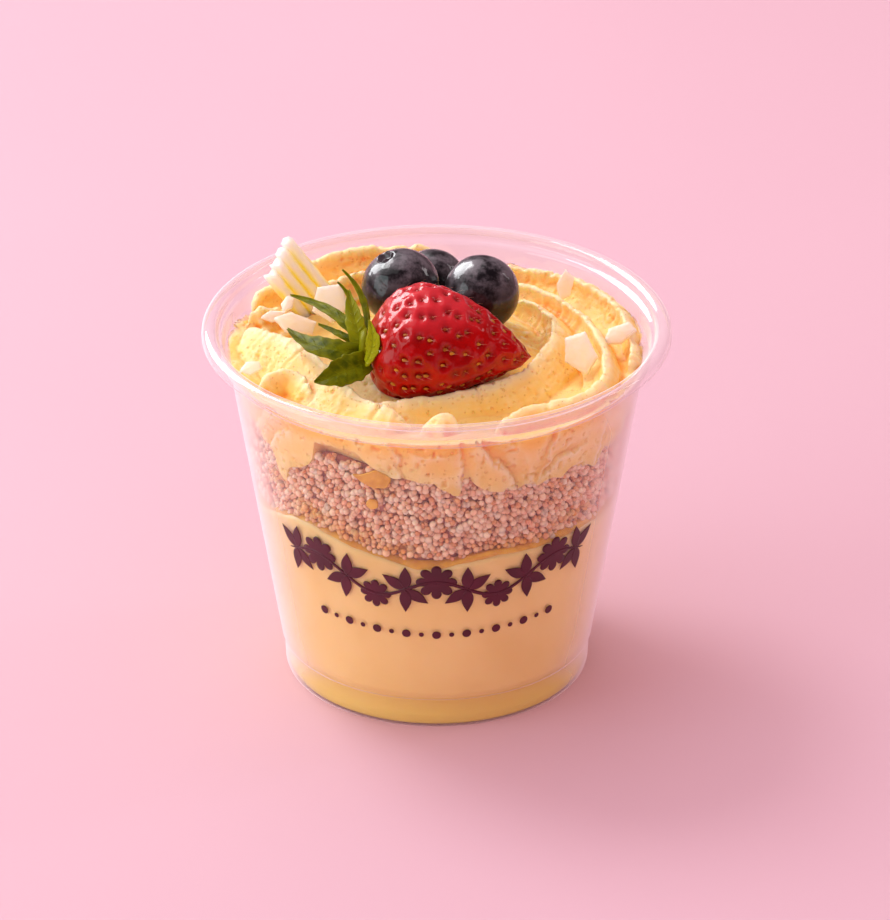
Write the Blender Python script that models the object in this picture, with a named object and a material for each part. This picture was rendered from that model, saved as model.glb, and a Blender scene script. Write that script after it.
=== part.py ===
"""Cheesecake sundae in its clear plastic cup, for Blender 4.5.

From the bottom up: pale cheesecake mousse, a thin line of mango sauce, moist sponge crumb, and a
swirl of mango cream that carries a strawberry, three berries and white chocolate.
Lengths in the constants are millimetres. make_object() turns them into metres.
The cup stands on z = 0 with its axis on the Z axis, and the side with the piped front faces -Y.
"""

import math
import random

import bmesh
import bpy
from mathutils import Matrix, Vector, noise

MM = 0.001
GAP = 0.3                     # clearance between neighbouring solids
SEGMENTS = 48                 # round the cup and the smooth fillings
CRUMB_SEGMENTS = 72           # round the crumb and the cream

# Cup: driving sizes
RIM_RADIUS = 47.5
CUP_HEIGHT = 76.5
WALL = 0.6
FOOT_RADIUS = 31.7
FOOT_HEIGHT = 6.9
FOOT_RECESS = 1.6             # the floor is raised inside the foot ring
LEDGE_RADIUS = 32.1
SHOULDER_RADIUS = 42.2
SHOULDER_HEIGHT = 69.5
NECK_STEP = 1.4
CURL_DROP = 2.5               # how far the rolled rim hangs down outside

# Layers
FLOOR_TOP = FOOT_RECESS + WALL
MOUSSE_TOP = 41.5
SAUCE_THICKNESS = 1.2
CRUMB_TOP = 62.5
CRUMB_RELIEF = 1.1            # depth of the hollows between crumbs at the wall
MOUSSE_SWELLS = ((-137, 3.4, 16), (-92, -1.3, 14), (178, -3.0, 24))    # angle, rise, half width
CREAM_LOBES = (                                                        # angle, lowest point, half width
    (-146, 58.4, 13), (-141, 53.4, 3.5), (-98, 61.2, 9), (-85, 58.2, 4), (-71, 56.8, 9), (-57, 57.4, 6),
    (-38, 56.6, 8), (-24, 59.0, 8), (-5, 58.0, 10), (16, 57.0, 9), (40, 59.5, 12), (62, 57.5, 8),
    (88, 58.0, 13), (112, 60.0, 10), (135, 58.0, 9), (158, 59.5, 10), (178, 57.5, 8))
LOBE_ROUNDNESS = 3.2
CREAM_EDGE_LIMIT = 65.4
CREAM_FLOOR = 66.8            # top of the cream between its ribbons
CREAM_CENTRE = 72.4           # top of the cream under the berries
CREAM_WALL = 69.8             # top of the cream where it meets the cup
RIBBON_ROOT = 65.8            # the ribbons reach down to here, inside the cream

# Piped ribbons: lip points, (run, drop) of the outer and the inner face, width of the lip
RIBBONS = {
    "inner": (((16, 22, 71.4), (20.6, 17, 72), (23.4, 9, 72.8), (23.6, 2, 73), (21.8, -4.5, 72.6),
               (19, -10, 72), (13.5, -16.6, 71.5), (6, -20.4, 71), (-1.5, -22.2, 70.6), (-8.5, -23.8, 70.3),
               (-14, -23, 70.2)), (6.5, 5.2), (3.0, 5.0), 1.2),
    "outer": (((15.5, 29, 71.2), (19, 26.4, 72), (25, 19, 72.5), (30, 10, 73), (33, -1, 73.2), (34, -10.6, 73.2),
               (33, -19, 73), (28.8, -25, 72.5), (23, -27, 72), (17, -29, 71.5), (11.5, -34.5, 70.8)),
              (4.0, 5.5), (4.5, 4.8), 2.2),
    "far": (((7, 38.5, 70), (13, 37, 71.2), (19, 34.4, 71.8), (25.5, 30, 72.5), (31, 24, 73), (36, 16.6, 73),
             (38.6, 8, 72.4), (39.6, -1, 71.6), (39, -9, 70.8)), (5.0, 4.5), (4.5, 5.0), 1.8),
    "left": (((-39.5, 7.5, 72), (-34, 2.4, 73), (-28, -3.4, 73), (-22.5, -10.5, 72.5), (-18.5, -18.5, 71.6),
              (-12, -25.5, 70.7), (-5, -29, 70)), (9.0, 4.8), (3.5, 5.0), 1.8),
    "curl": (((-36.5, -17, 70.3), (-33, -13.5, 71.6), (-29.4, -12.4, 72), (-26.4, -15.2, 71.4),
              (-24.4, -20, 70)), (4.0, 4.6), (3.0, 4.0), 1.2),
    "back": (((-29, 29, 73.2), (-23, 33, 74.2), (-15.5, 36.2, 74.6), (-8.7, 38, 74), (-2, 39.2, 73),
              (4, 38.6, 71.4)), (4.0, 4.0), (5.0, 6.0), 2.0),
    "back_low": (((-24, 23.6, 71.4), (-20.6, 27, 72.8), (-16.4, 30, 73.2), (-11, 31.6, 72.4)),
                 (3.4, 4.0), (3.0, 4.5), 1.4),
    "lobe": (((-38, 17.6, 71.8), (-36.4, 21, 73), (-33.4, 23.4, 73.6), (-29.6, 23.6, 73.2)),
             (3.6, 4.0), (3.6, 4.5), 2.6),
    "ledge": (((-39.5, 11.4, 71.6), (-36, 13.4, 72.6), (-31.6, 13.6, 72.6), (-27.5, 11.6, 71.8)),
              (3.0, 4.0), (3.0, 4.0), 1.8),
    "front": (((-3.4, -33, 69.6), (-0.6, -31.8, 71), (2.2, -31.6, 71.4), (5, -33.4, 70.4)),
              (5.0, 4.0), (3.0, 3.5), 2.2),
}
RIBBON_STEP = 4.6             # length of one facet along a ribbon

# Toppings
STRAWBERRY_STALK_END = Vector((-13.6, -12.2, 77.2))
STRAWBERRY_TIP = Vector((19.3, -11.2, 74.2))
STRAWBERRY_RADIUS = 12.0
STRAWBERRY_SHOULDER = 0.58    # lower values carry the widest place nearer the stalk
STRAWBERRY_FULLNESS = 0.80
STRAWBERRY_BEND = 1.8         # the fruit arches upward by this at mid length
STRAWBERRY_SIDES = 22
STRAWBERRY_RINGS = 13
SEED_ROWS = 8
SEED_SPACING = 7.4
SEED_SIZE = (1.7, 1.1, 0.9)
BERRIES = (                   # centre, radius, direction of the crown
    ((-7.4, 11.6, 79.0), 8.0, (-0.43, -0.05, 0.90)),
    ((9.1, 10.4, 78.0), 7.8, (0.45, 0.80, -0.40)),
    ((-0.8, 24.6, 73.4), 7.3, (0.30, 0.75, 0.58)))
BERRY_SIDES = 18
FAN_FOOT = Vector((-21.0, 26.0, 70.6))        # its right edge
FAN_TOP = Vector((-30.0, 23.4, 84.5))
FAN_ACROSS = Vector((-0.74, -0.58, -0.45))
FAN_RIDGE_ENDS = (1.0, 0.93, 0.86, 0.79)      # where each ridge ends, as a share of the longest
FAN_RIDGE_WIDTH = 2.8
FAN_RIDGE_PITCH = 2.4
FAN_THICKNESS = 3.0
SHARDS = (                    # centre, size, turn about X, Y and Z in degrees
    ((-21.6, 12.6, 74.6), (7.6, 8.4, 0.9), (48, -14, 22)),
    ((-28.6, 2.6, 74.8), (9.4, 5.0, 0.9), (26, 10, -10)),
    ((28.8, -7.4, 73.2), (6.6, 9.6, 1.0), (44, -20, 28)),
    ((37.2, 2.0, 72.8), (7.4, 4.2, 0.9), (32, -12, 30)),
    ((26.4, 23.6, 73.2), (3.4, 6.4, 0.8), (56, 8, -12)))
LEAF_THICKNESS = 0.55
LEAF_CELLS = 5
LEAVES = (                    # root, middle and tip of the midrib, width, roll about the midrib in degrees
    ((-14.8, -12.0, 77.6), (-20.4, -4.8, 80.6), (-29.6, 5.5, 79.8), 2.6, 0),
    ((-14.6, -13.6, 76.6), (-23.2, -12.9, 77.2), (-30.1, -1.8, 75.8), 5.0, 10),
    ((-15.0, -12.0, 77.0), (-19.4, -8.6, 78.0), (-23.8, -3.4, 77.6), 1.5, 0),
    ((-14.8, -13.8, 77.0), (-16.4, -9.0, 81.0), (-17.7, -1.8, 84.5), 4.2, 0),
    ((-13.9, -9.0, 79.0), (-15.0, -2.0, 83.0), (-19.0, 3.6, 86.4), 1.3, 0),
    ((-15.2, -8.6, 79.0), (-17.0, -2.0, 82.0), (-20.0, 1.7, 84.6), 1.0, 0),
    ((-14.0, -18.2, 76.2), (-12.6, -17.6, 80.0), (-13.4, -13.6, 83.6), 3.2, -28),
    ((-13.6, -15.8, 75.8), (-18.8, -20.4, 75.2), (-24.3, -21.3, 73.6), 7.0, 0))
CALYX_RADIUS = 3.6
CALYX_THICKNESS = 1.4
CALYX_OFFSET = 1.9            # from the fruit's end to the back of the cap

COLOURS = {                   # linear base colour, roughness, transmission
    "clear_plastic": ((0.98, 0.98, 0.98), 0.05, 1.0),
    "cheesecake_mousse": ((0.90, 0.60, 0.32), 0.45, 0.0),
    "mango_sauce": ((0.80, 0.32, 0.04), 0.20, 0.0),
    "sponge_crumb": ((0.72, 0.40, 0.34), 0.70, 0.0),
    "mango_cream": ((0.93, 0.62, 0.28), 0.50, 0.0),
    "strawberry_red": ((0.45, 0.01, 0.02), 0.18, 0.0),
    "leaf_green": ((0.12, 0.16, 0.02), 0.45, 0.0),
    "berry_blue": ((0.03, 0.02, 0.05), 0.25, 0.0),
    "white_chocolate": ((0.92, 0.80, 0.58), 0.40, 0.0)}


def clear_scene():
    for old in list(bpy.data.objects):
        bpy.data.objects.remove(old)


def material(name):
    """Principled material from COLOURS, made once."""
    if name in bpy.data.materials:
        return bpy.data.materials[name]
    colour, roughness, transmission = COLOURS[name]
    made = bpy.data.materials.new(name)
    made.use_nodes = True
    shader = made.node_tree.nodes["Principled BSDF"]
    shader.inputs["Base Color"].default_value = (*colour, 1.0)
    shader.inputs["Roughness"].default_value = roughness
    shader.inputs["Metallic"].default_value = 0.0
    shader.inputs["Transmission Weight"].default_value = transmission
    return made


def make_object(name, points, faces, material_name, sharp_degrees=40):
    """Object from points in millimetres, smooth apart from its sharp edges."""
    mesh = bpy.data.meshes.new(name)
    mesh.from_pydata([Vector(point) * MM for point in points], [], faces)
    mesh.materials.append(material(material_name))
    made = bpy.data.objects.new(name, mesh)
    bpy.context.scene.collection.objects.link(made)
    finish_mesh(mesh, sharp_degrees)
    return made


def finish_mesh(mesh, sharp_degrees):
    """Split every face into triangles, turn them outwards and shade the mesh smooth."""
    edit = bmesh.new()
    edit.from_mesh(mesh)
    bmesh.ops.triangulate(edit, faces=edit.faces)
    bmesh.ops.recalc_face_normals(edit, faces=edit.faces)
    edit.to_mesh(mesh)
    edit.free()
    mesh.shade_smooth()
    mesh.set_sharp_from_angle(angle=math.radians(sharp_degrees))


def combine(target, cutters, operation, solver="MANIFOLD"):
    """Apply one Boolean of target with a collection of cutters, which are then removed.

    EXACT leaves open edges where thin ribbons, pips and leaves graze each other, so MANIFOLD is used.
    """
    group = bpy.data.collections.new(target.name + "_" + operation.lower())
    bpy.context.scene.collection.children.link(group)
    for cutter in cutters:
        cutter.hide_render = True
        cutter.display_type = "WIRE"
        group.objects.link(cutter)
    modifier = target.modifiers.new("combine", "BOOLEAN")
    modifier.operation = operation
    modifier.solver = solver
    modifier.operand_type = "COLLECTION"
    modifier.collection = group
    bpy.context.view_layer.update()
    graph = bpy.context.evaluated_depsgraph_get()
    result = bpy.data.meshes.new_from_object(target.evaluated_get(graph))
    target.modifiers.clear()
    target.data = result
    bpy.data.collections.remove(group)
    for cutter in cutters:
        bpy.data.objects.remove(cutter)


def clean(target, merge_distance=0.002, sharp_degrees=40):
    """Weld the slivers that a Boolean leaves, keep the largest shell and split faces anew."""
    edit = bmesh.new()
    edit.from_mesh(target.data)
    bmesh.ops.remove_doubles(edit, verts=edit.verts, dist=merge_distance * MM)
    bmesh.ops.dissolve_degenerate(edit, edges=edit.edges, dist=merge_distance * MM)
    keep_largest_shell(edit)
    edit.to_mesh(target.data)
    edit.free()
    finish_mesh(target.data, sharp_degrees)


def keep_largest_shell(edit):
    """Delete every connected shell but the one with the most faces."""
    waiting = set(edit.faces)
    largest = set()
    while waiting:
        shell = set()
        stack = [waiting.pop()]
        while stack:
            face = stack.pop()
            shell.add(face)
            for edge in face.edges:
                for other in edge.link_faces:
                    if other in waiting:
                        waiting.discard(other)
                        stack.append(other)
        if len(shell) > len(largest):
            largest = shell
    loose = [face for face in edit.faces if face not in largest]
    bmesh.ops.delete(edit, geom=loose, context="FACES")


def turned(rows, segments):
    """Closed surface of rows, each a function of the angle that gives (radius, height).

    The first and the last row lie on the axis.
    """
    points = [Vector((0, 0, rows[0](0.0)[1]))]
    faces = []
    for row in rows[1:-1]:
        for step in range(segments):
            angle = math.tau * step / segments
            radius, height = row(angle)
            points.append(Vector((radius * math.cos(angle), radius * math.sin(angle), height)))
    points.append(Vector((0, 0, rows[-1](0.0)[1])))
    last = len(points) - 1
    rings = len(rows) - 2
    for step in range(segments):
        after = (step + 1) % segments
        faces.append((0, 1 + after, 1 + step))
        for ring in range(rings - 1):
            low = 1 + ring * segments
            high = low + segments
            faces += split_quad(points, low + step, low + after, high + after, high + step)
        top = 1 + (rings - 1) * segments
        faces.append((last, top + step, top + after))
    return points, faces


def split_quad(points, a, b, c, d):
    """Two triangles along the higher diagonal, so that a level splits alike seen from either side."""
    if points[a].z + points[c].z >= points[b].z + points[d].z:
        return [(a, b, c), (a, c, d)]
    return [(b, c, d), (b, d, a)]


def fixed_row(radius, height):
    return lambda angle: (radius, height)


def degrees_between(angle, centre_degrees):
    """Signed angle from the centre, in degrees from -180 to 180."""
    return (math.degrees(angle) - centre_degrees + 180) % 360 - 180


def inner_radius(height):
    """Inside radius of the cup's straight wall at a height."""
    slope = (SHOULDER_RADIUS - LEDGE_RADIUS) / (SHOULDER_HEIGHT - FOOT_HEIGHT)
    return LEDGE_RADIUS - WALL + slope * (height - FOOT_HEIGHT)


# ---------------------------------------------------------------- cup

def cup_profile():
    """Outline of the wall from the underside's centre, up the outside, over the rim and down the inside."""
    neck = SHOULDER_RADIUS + NECK_STEP
    curl_bottom = CUP_HEIGHT - CURL_DROP
    outside = [
        (0, FOOT_RECESS), (FOOT_RADIUS - 3.3, FOOT_RECESS), (FOOT_RADIUS - 2.3, 0), (FOOT_RADIUS - 0.9, 0),
        (FOOT_RADIUS - 0.3, 1.1), (FOOT_RADIUS, FOOT_HEIGHT - 0.2), (LEDGE_RADIUS, FOOT_HEIGHT + 0.3),
        (SHOULDER_RADIUS, SHOULDER_HEIGHT), (neck, SHOULDER_HEIGHT + 0.6), (neck + 0.5, curl_bottom)]
    curl = [
        (neck + 1.1, CUP_HEIGHT - 1.0), (RIM_RADIUS - 1.2, CUP_HEIGHT - 0.9), (RIM_RADIUS - WALL, curl_bottom),
        (RIM_RADIUS, curl_bottom), (RIM_RADIUS - 0.2, CUP_HEIGHT - 1.1), (RIM_RADIUS - 1.2, CUP_HEIGHT - 0.1),
        (RIM_RADIUS - 2.2, CUP_HEIGHT), (neck + 0.4, CUP_HEIGHT - 0.6)]
    inside = [
        (neck - 0.1, curl_bottom), (neck - 0.7, SHOULDER_HEIGHT + 0.9),
        (inner_radius(SHOULDER_HEIGHT), SHOULDER_HEIGHT + 0.2), (inner_radius(FOOT_HEIGHT), FOOT_HEIGHT + 0.3),
        (FOOT_RADIUS - WALL, FOOT_HEIGHT - 0.2), (FOOT_RADIUS - WALL - 0.4, FLOOR_TOP + 0.5),
        (FOOT_RADIUS - WALL - 1.0, FLOOR_TOP), (0, FLOOR_TOP)]
    return outside + curl + inside


def build_cup():
    rows = [fixed_row(radius, height) for radius, height in cup_profile()]
    points, faces = turned(rows, SEGMENTS)
    return make_object("cup", points, faces, "clear_plastic", sharp_degrees=50)


# ---------------------------------------------------------------- fillings

def layer_height(base, angle, share):
    """Height of the wavy level between the mousse and the crumb; share runs from 0 at the axis to 1."""
    rise = 0.0
    for centre, swell, width in MOUSSE_SWELLS:
        rise += swell * math.exp(-(degrees_between(angle, centre) / width) ** 2)
    rise += 0.5 * math.sin(5 * angle) + 0.35 * math.sin(9 * angle + 1.0)
    return base + rise * share * share


def filling_row(base, share, clearance=GAP):
    """One ring of the wavy level, as a share of the cup's inside radius."""
    def row(angle):
        height = layer_height(base, angle, share)
        return (inner_radius(height) - clearance) * share, height
    return row


def build_mousse():
    floor = FLOOR_TOP + GAP
    foot_inside = FOOT_RADIUS - WALL - GAP
    rows = [fixed_row(0, floor), fixed_row(foot_inside - 1.3, floor), fixed_row(foot_inside - 0.5, floor + 0.7),
            fixed_row(foot_inside, FOOT_HEIGHT - 0.1),
            fixed_row(inner_radius(FOOT_HEIGHT) - GAP, FOOT_HEIGHT + 0.4),
            filling_row(MOUSSE_TOP, 1.0), filling_row(MOUSSE_TOP, 0.82), filling_row(MOUSSE_TOP, 0.5),
            fixed_row(0, MOUSSE_TOP)]
    points, faces = turned(rows, SEGMENTS)
    return make_object("cheesecake_mousse", points, faces, "cheesecake_mousse")


def build_sauce():
    low = MOUSSE_TOP + GAP
    high = low + SAUCE_THICKNESS
    rows = [fixed_row(0, low), filling_row(low, 0.5), filling_row(low, 0.82), filling_row(low, 1.0),
            filling_row(high, 1.0), filling_row(high, 0.82), filling_row(high, 0.5), fixed_row(0, high)]
    points, faces = turned(rows, SEGMENTS)
    return make_object("mango_sauce", points, faces, "mango_sauce")


def cream_edge(angle):
    """Height of the cream's lobed lower edge where it shows at the wall."""
    lowest = CREAM_EDGE_LIMIT
    for centre, height, width in CREAM_LOBES:
        away = abs(degrees_between(angle, centre)) / width
        lowest = min(lowest, height + LOBE_ROUNDNESS * away * away)
    return lowest


def crumb_level(angle, share, lift=0.0):
    """Height of the level between the crumb and the cream."""
    blend = max(0.0, (share - 0.62) / 0.38)
    return CRUMB_TOP + (cream_edge(angle) - CRUMB_TOP) * blend + lift


def crumb_level_row(share, lift, outward=0.0):
    def row(angle):
        height = crumb_level(angle, min(share, 1.0), lift)
        return (inner_radius(height) - GAP - 0.1 + outward) * share, height
    return row


def crumb_side_row(up):
    """One ring of the crumb's knobbly side; up runs from 0 at the sauce to 1 at the cream."""
    def row(angle):
        low = layer_height(MOUSSE_TOP + SAUCE_THICKNESS + 2 * GAP, angle, 1.0)
        height = low + (crumb_level(angle, 1.0) - low) * up
        radius = inner_radius(height) - GAP - 0.1
        spot = Vector((radius * math.cos(angle), radius * math.sin(angle), height)) * 0.31
        hollow = 0.5 + 0.5 * noise.noise(spot)
        edge_fade = min(1.0, 6 * up * (1 - up))
        return radius - CRUMB_RELIEF * hollow * edge_fade, height
    return row


def build_sponge():
    low = MOUSSE_TOP + SAUCE_THICKNESS + 2 * GAP
    shares = (0.62, 0.84)
    side_rows = 8
    rows = [fixed_row(0, low)]
    rows += [filling_row(low, share, GAP + 0.1) for share in shares]
    rows += [crumb_side_row(step / side_rows) for step in range(side_rows + 1)]
    rows += [crumb_level_row(share, 0.0) for share in reversed(shares)]
    rows += [fixed_row(0, CRUMB_TOP)]
    points, faces = turned(rows, CRUMB_SEGMENTS)
    return make_object("sponge_crumb", points, faces, "sponge_crumb", sharp_degrees=60)


# ---------------------------------------------------------------- cream

def cream_top(angle, share):
    """Height of the cream between its ribbons: a mound in the middle, a valley, a bank at the wall."""
    mound = math.exp(-(share / 0.50) ** 4)
    bank = max(0.0, (share - 0.7) / 0.3)
    ripple = 0.5 * math.sin(7 * angle + 6 * share)
    return (CREAM_FLOOR + (CREAM_CENTRE - CREAM_FLOOR) * mound + (CREAM_WALL - CREAM_FLOOR) * bank
            + ripple * share)


def cream_core_row(share):
    def row(angle):
        height = cream_top(angle, min(share, 1.0))
        return inner_radius(height) * share, height
    return row


def build_cream_core():
    """Body of the cream, a little wider than the cup: it is trimmed to the wall afterwards."""
    over = 1.03
    below = [crumb_level_row(share, GAP) for share in (0.62, 0.84, 1.0)]
    rows = [fixed_row(0, CRUMB_TOP + GAP)] + below + [crumb_level_row(over, GAP)]
    rows += [cream_core_row(share) for share in (over, 0.84, 0.68, 0.5, 0.34)]
    rows += [fixed_row(0, CREAM_CENTRE)]
    points, faces = turned(rows, CRUMB_SEGMENTS)
    return make_object("cream_swirl", points, faces, "mango_cream")


def smooth_path(stations, step):
    """Points at an even step along a Catmull-Rom curve through the stations."""
    stations = [Vector(station) for station in stations]
    padded = [2 * stations[0] - stations[1]] + stations + [2 * stations[-1] - stations[-2]]
    dense = []
    for index in range(len(stations) - 1):
        a, b, c, d = padded[index:index + 4]
        for fine in range(20):
            t = fine / 20
            dense.append(0.5 * (2 * b + (c - a) * t + (2 * a - 5 * b + 4 * c - d) * t ** 2
                                + (3 * b - a - 3 * c + d) * t ** 3))
    dense.append(stations[-1])
    travelled = [0.0]
    for before, after in zip(dense, dense[1:]):
        travelled.append(travelled[-1] + (after - before).length)
    count = max(3, round(travelled[-1] / step))
    path = []
    position = 0
    for index in range(count + 1):
        wanted = travelled[-1] * index / count
        while position < len(dense) - 2 and travelled[position + 1] < wanted:
            position += 1
        span = travelled[position + 1] - travelled[position]
        path.append(dense[position].lerp(dense[position + 1], (wanted - travelled[position]) / span))
    return path


def ribbon_section(outer, inner, lip, lip_height):
    """Outline across a ribbon as (outward, up) from its lip, outer foot first."""
    outer_run, outer_drop = outer
    inner_run, inner_drop = inner
    root = RIBBON_ROOT - lip_height
    return [(outer_run, root), (outer_run, -outer_drop), (0.55 * outer_run, -0.45 * outer_drop),
            (lip / 2, -0.2 * lip), (-lip / 2, -0.1 * lip), (-lip / 2 - 0.4 * inner_run, -0.6 * inner_drop),
            (-inner_run, -inner_drop), (-inner_run, root)]


def build_ribbon(name, stations, outer, inner, lip):
    """Closed fin swept along its lip, lower at both ends."""
    path = smooth_path(stations, RIBBON_STEP)
    chord = path[-1] - path[0]
    middle = path[len(path) // 2]
    side_sign = 1 if chord.y * middle.x - chord.x * middle.y > 0 else -1
    points = []
    faces = []
    for index, place in enumerate(path):
        before = path[max(0, index - 1)]
        after = path[min(len(path) - 1, index + 1)]
        along = Vector((after.x - before.x, after.y - before.y, 0)).normalized()
        outward = Vector((along.y, -along.x, 0)) * side_sign
        end = min(index, len(path) - 1 - index)
        swell = 1.0 if end > 0 else 0.45
        for across, up in ribbon_section(outer, inner, lip, place.z):
            points.append(place + outward * across * swell + Vector((0, 0, up)))
    sides = len(ribbon_section(outer, inner, lip, 0))
    for index in range(len(path) - 1):
        low = index * sides
        for side in range(sides):
            beside = (side + 1) % sides
            faces.append((low + side, low + beside, low + sides + beside, low + sides + side))
    faces.append(tuple(range(sides)))
    faces.append(tuple(reversed(range(len(points) - sides, len(points)))))
    return make_object(name, points, faces, "mango_cream")


def cup_space():
    """The room inside the cup, which the cream is trimmed to."""
    low = 50.0
    high = CUP_HEIGHT + 4.0
    neck = SHOULDER_RADIUS + NECK_STEP - 0.7 - GAP
    rows = [fixed_row(0, low), fixed_row(inner_radius(low) - GAP - 0.1, low),
            fixed_row(inner_radius(SHOULDER_HEIGHT) - GAP - 0.1, SHOULDER_HEIGHT),
            fixed_row(neck - 0.4, SHOULDER_HEIGHT + 1.5), fixed_row(neck - 0.2, high), fixed_row(0, high)]
    points, faces = turned(rows, CRUMB_SEGMENTS)
    off_the_seams = Matrix.Rotation(math.radians(1.1), 4, "Z")
    points = [off_the_seams @ point for point in points]
    return make_object("cup_space", points, faces, "mango_cream")


def build_cream():
    cream = build_cream_core()
    ribbons = [build_ribbon("ribbon_" + name, *sizes) for name, sizes in RIBBONS.items()]
    combine(cream, ribbons, "UNION")
    combine(cream, [cup_space()], "INTERSECT")
    cutters = [strawberry_body("cut_strawberry", 2 * GAP)]
    cutters += [berry_body("cut_berry", *berry, grow=GAP) for berry in BERRIES]
    cutters += [fan_body("cut_fan", GAP)]
    cutters += [shard_body("cut_shard", *shard, grow=GAP) for shard in SHARDS]
    cutters += [leaf_body("cut_leaf", *leaf, grow=GAP) for leaf in LEAVES]
    cutters += [calyx_hub("cut_hub", GAP)]
    for cutter in cutters:
        combine(cream, [cutter], "DIFFERENCE")
    clean(cream)
    return cream


# ---------------------------------------------------------------- strawberry

def strawberry_frame():
    """Matrix whose X axis runs from the stalk end to the tip."""
    along = (STRAWBERRY_TIP - STRAWBERRY_STALK_END).normalized()
    turn = along.to_track_quat("X", "Z").to_matrix().to_4x4()
    return Matrix.Translation(STRAWBERRY_STALK_END) @ turn


def strawberry_radius(share):
    """Radius at a share of the length from the stalk end."""
    return STRAWBERRY_RADIUS * math.sin(math.pi * share ** STRAWBERRY_SHOULDER) ** STRAWBERRY_FULLNESS


def strawberry_rise(share):
    """Height of the fruit's arched centre line over the straight one."""
    return STRAWBERRY_BEND * math.sin(math.pi * min(1.0, max(0.0, share)))


def strawberry_body(name, grow):
    length = (STRAWBERRY_TIP - STRAWBERRY_STALK_END).length
    frame = strawberry_frame()
    rows = [fixed_row(0, -grow)]
    for ring in range(1, STRAWBERRY_RINGS):
        share = 0.5 - 0.5 * math.cos(math.pi * ring / STRAWBERRY_RINGS)
        rows.append(fixed_row(strawberry_radius(share) + grow, share * length + grow * (2 * share - 1)))
    rows.append(fixed_row(0, length + grow))
    points, faces = turned(rows, STRAWBERRY_SIDES)
    stand = Matrix(((0, 0, 1, 0), (1, 0, 0, 0), (0, 1, 0, 0), (0, 0, 0, 1)))
    points = [stand @ point for point in points]
    points = [frame @ (point + Vector((0, 0, strawberry_rise(point.x / length)))) for point in points]
    return make_object(name, points, faces, "strawberry_red", sharp_degrees=80)


def build_seed(share, angle):
    """One pip, half sunk in the skin and lying along the fruit."""
    length = (STRAWBERRY_TIP - STRAWBERRY_STALK_END).length
    ahead = strawberry_radius(min(0.999, share + 0.01)) - strawberry_radius(share - 0.01)
    along = Vector((0.02 * length, ahead * math.cos(angle), ahead * math.sin(angle))).normalized()
    around = Vector((0, -math.sin(angle), math.cos(angle)))
    out = along.cross(around)
    radius = strawberry_radius(share)
    centre = Vector((share * length, radius * math.cos(angle), radius * math.sin(angle)))
    out = out if out.dot(centre - Vector((centre.x, 0, 0))) > 0 else -out
    centre.z += strawberry_rise(share)
    long, wide, tall = SEED_SIZE
    corners = [along * long / 2, around * wide / 2, -along * long / 2, -around * wide / 2]
    frame = strawberry_frame()
    sunk = centre - out * 0.12
    points = [frame @ (sunk + corner) for corner in corners]
    points += [frame @ (sunk + out * tall / 2), frame @ (sunk - out * tall / 2)]
    faces = []
    for side in range(4):
        beside = (side + 1) % 4
        faces.append((side, beside, 4))
        faces.append((beside, side, 5))
    return make_object("seed", points, faces, "strawberry_red")


def build_strawberry():
    fruit = strawberry_body("strawberry", 0.0)
    seeds = []
    for row in range(SEED_ROWS):
        share = 0.13 + 0.80 * row / (SEED_ROWS - 1)
        count = max(3, round(math.tau * strawberry_radius(share) / SEED_SPACING))
        for step in range(count):
            seeds.append(build_seed(share, math.tau * (step + 0.5 * (row % 2)) / count))
    combine(fruit, seeds, "UNION")
    clean(fruit, sharp_degrees=60)
    return fruit


def leaf_width(share, width):
    """Half width of a leaf at a share of its length."""
    return 0.35 + 0.5 * width * math.sin(math.pi * min(1.0, share * 0.9 + 0.08)) ** 0.8 * (1 - share) ** 0.25


def leaf_body(name, root, middle, tip, width, roll, grow=0.0):
    """Thin wavy leaf along a bent midrib, with both faces split alike."""
    root = Vector(root)
    tip = Vector(tip)
    bend = 2 * Vector(middle) - (root + tip) / 2
    across = (-1.0, 0.0, 1.0)
    columns = len(across)
    thickness = LEAF_THICKNESS + 2 * grow
    top = []
    bottom = []
    for cell in range(LEAF_CELLS + 1):
        share = cell / LEAF_CELLS
        place = (1 - share) ** 2 * root + 2 * share * (1 - share) * bend + share ** 2 * tip
        along = (2 * (1 - share) * (bend - root) + 2 * share * (tip - bend)).normalized()
        sideways = along.cross(Vector((0, -0.75, 0.66))).normalized()
        sideways = Matrix.Rotation(math.radians(roll), 3, along) @ sideways
        face = sideways.cross(along).normalized()
        half = leaf_width(share, width) + grow
        for side in across:
            fold = 0.22 * abs(side) * half + 0.25 * math.sin(5 * share + 2 * side)
            point = place + sideways * side * half + face * fold
            edge_thickness = thickness * (1 - 0.45 * abs(side))
            top.append(point + face * edge_thickness / 2)
            bottom.append(point - face * edge_thickness / 2)
    points = top + bottom
    under = len(top)
    faces = []
    for cell in range(LEAF_CELLS):
        for column in range(columns - 1):
            a = cell * columns + column
            corners = (a, a + 1, a + columns + 1, a + columns)
            for triangle in ((0, 1, 2), (0, 2, 3)):
                upper = tuple(corners[corner] for corner in triangle)
                faces.append(upper)
                faces.append(tuple(reversed([corner + under for corner in upper])))
    outline = list(range(columns)) + [columns * cell + columns - 1 for cell in range(1, LEAF_CELLS + 1)]
    outline += [columns * LEAF_CELLS + column for column in range(columns - 2, -1, -1)]
    outline += [columns * cell for cell in range(LEAF_CELLS - 1, 0, -1)]
    for here, beyond in zip(outline, outline[1:] + outline[:1]):
        faces.append((beyond, here, here + under, beyond + under))
    return make_object(name, points, faces, "leaf_green", sharp_degrees=60)


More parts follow.
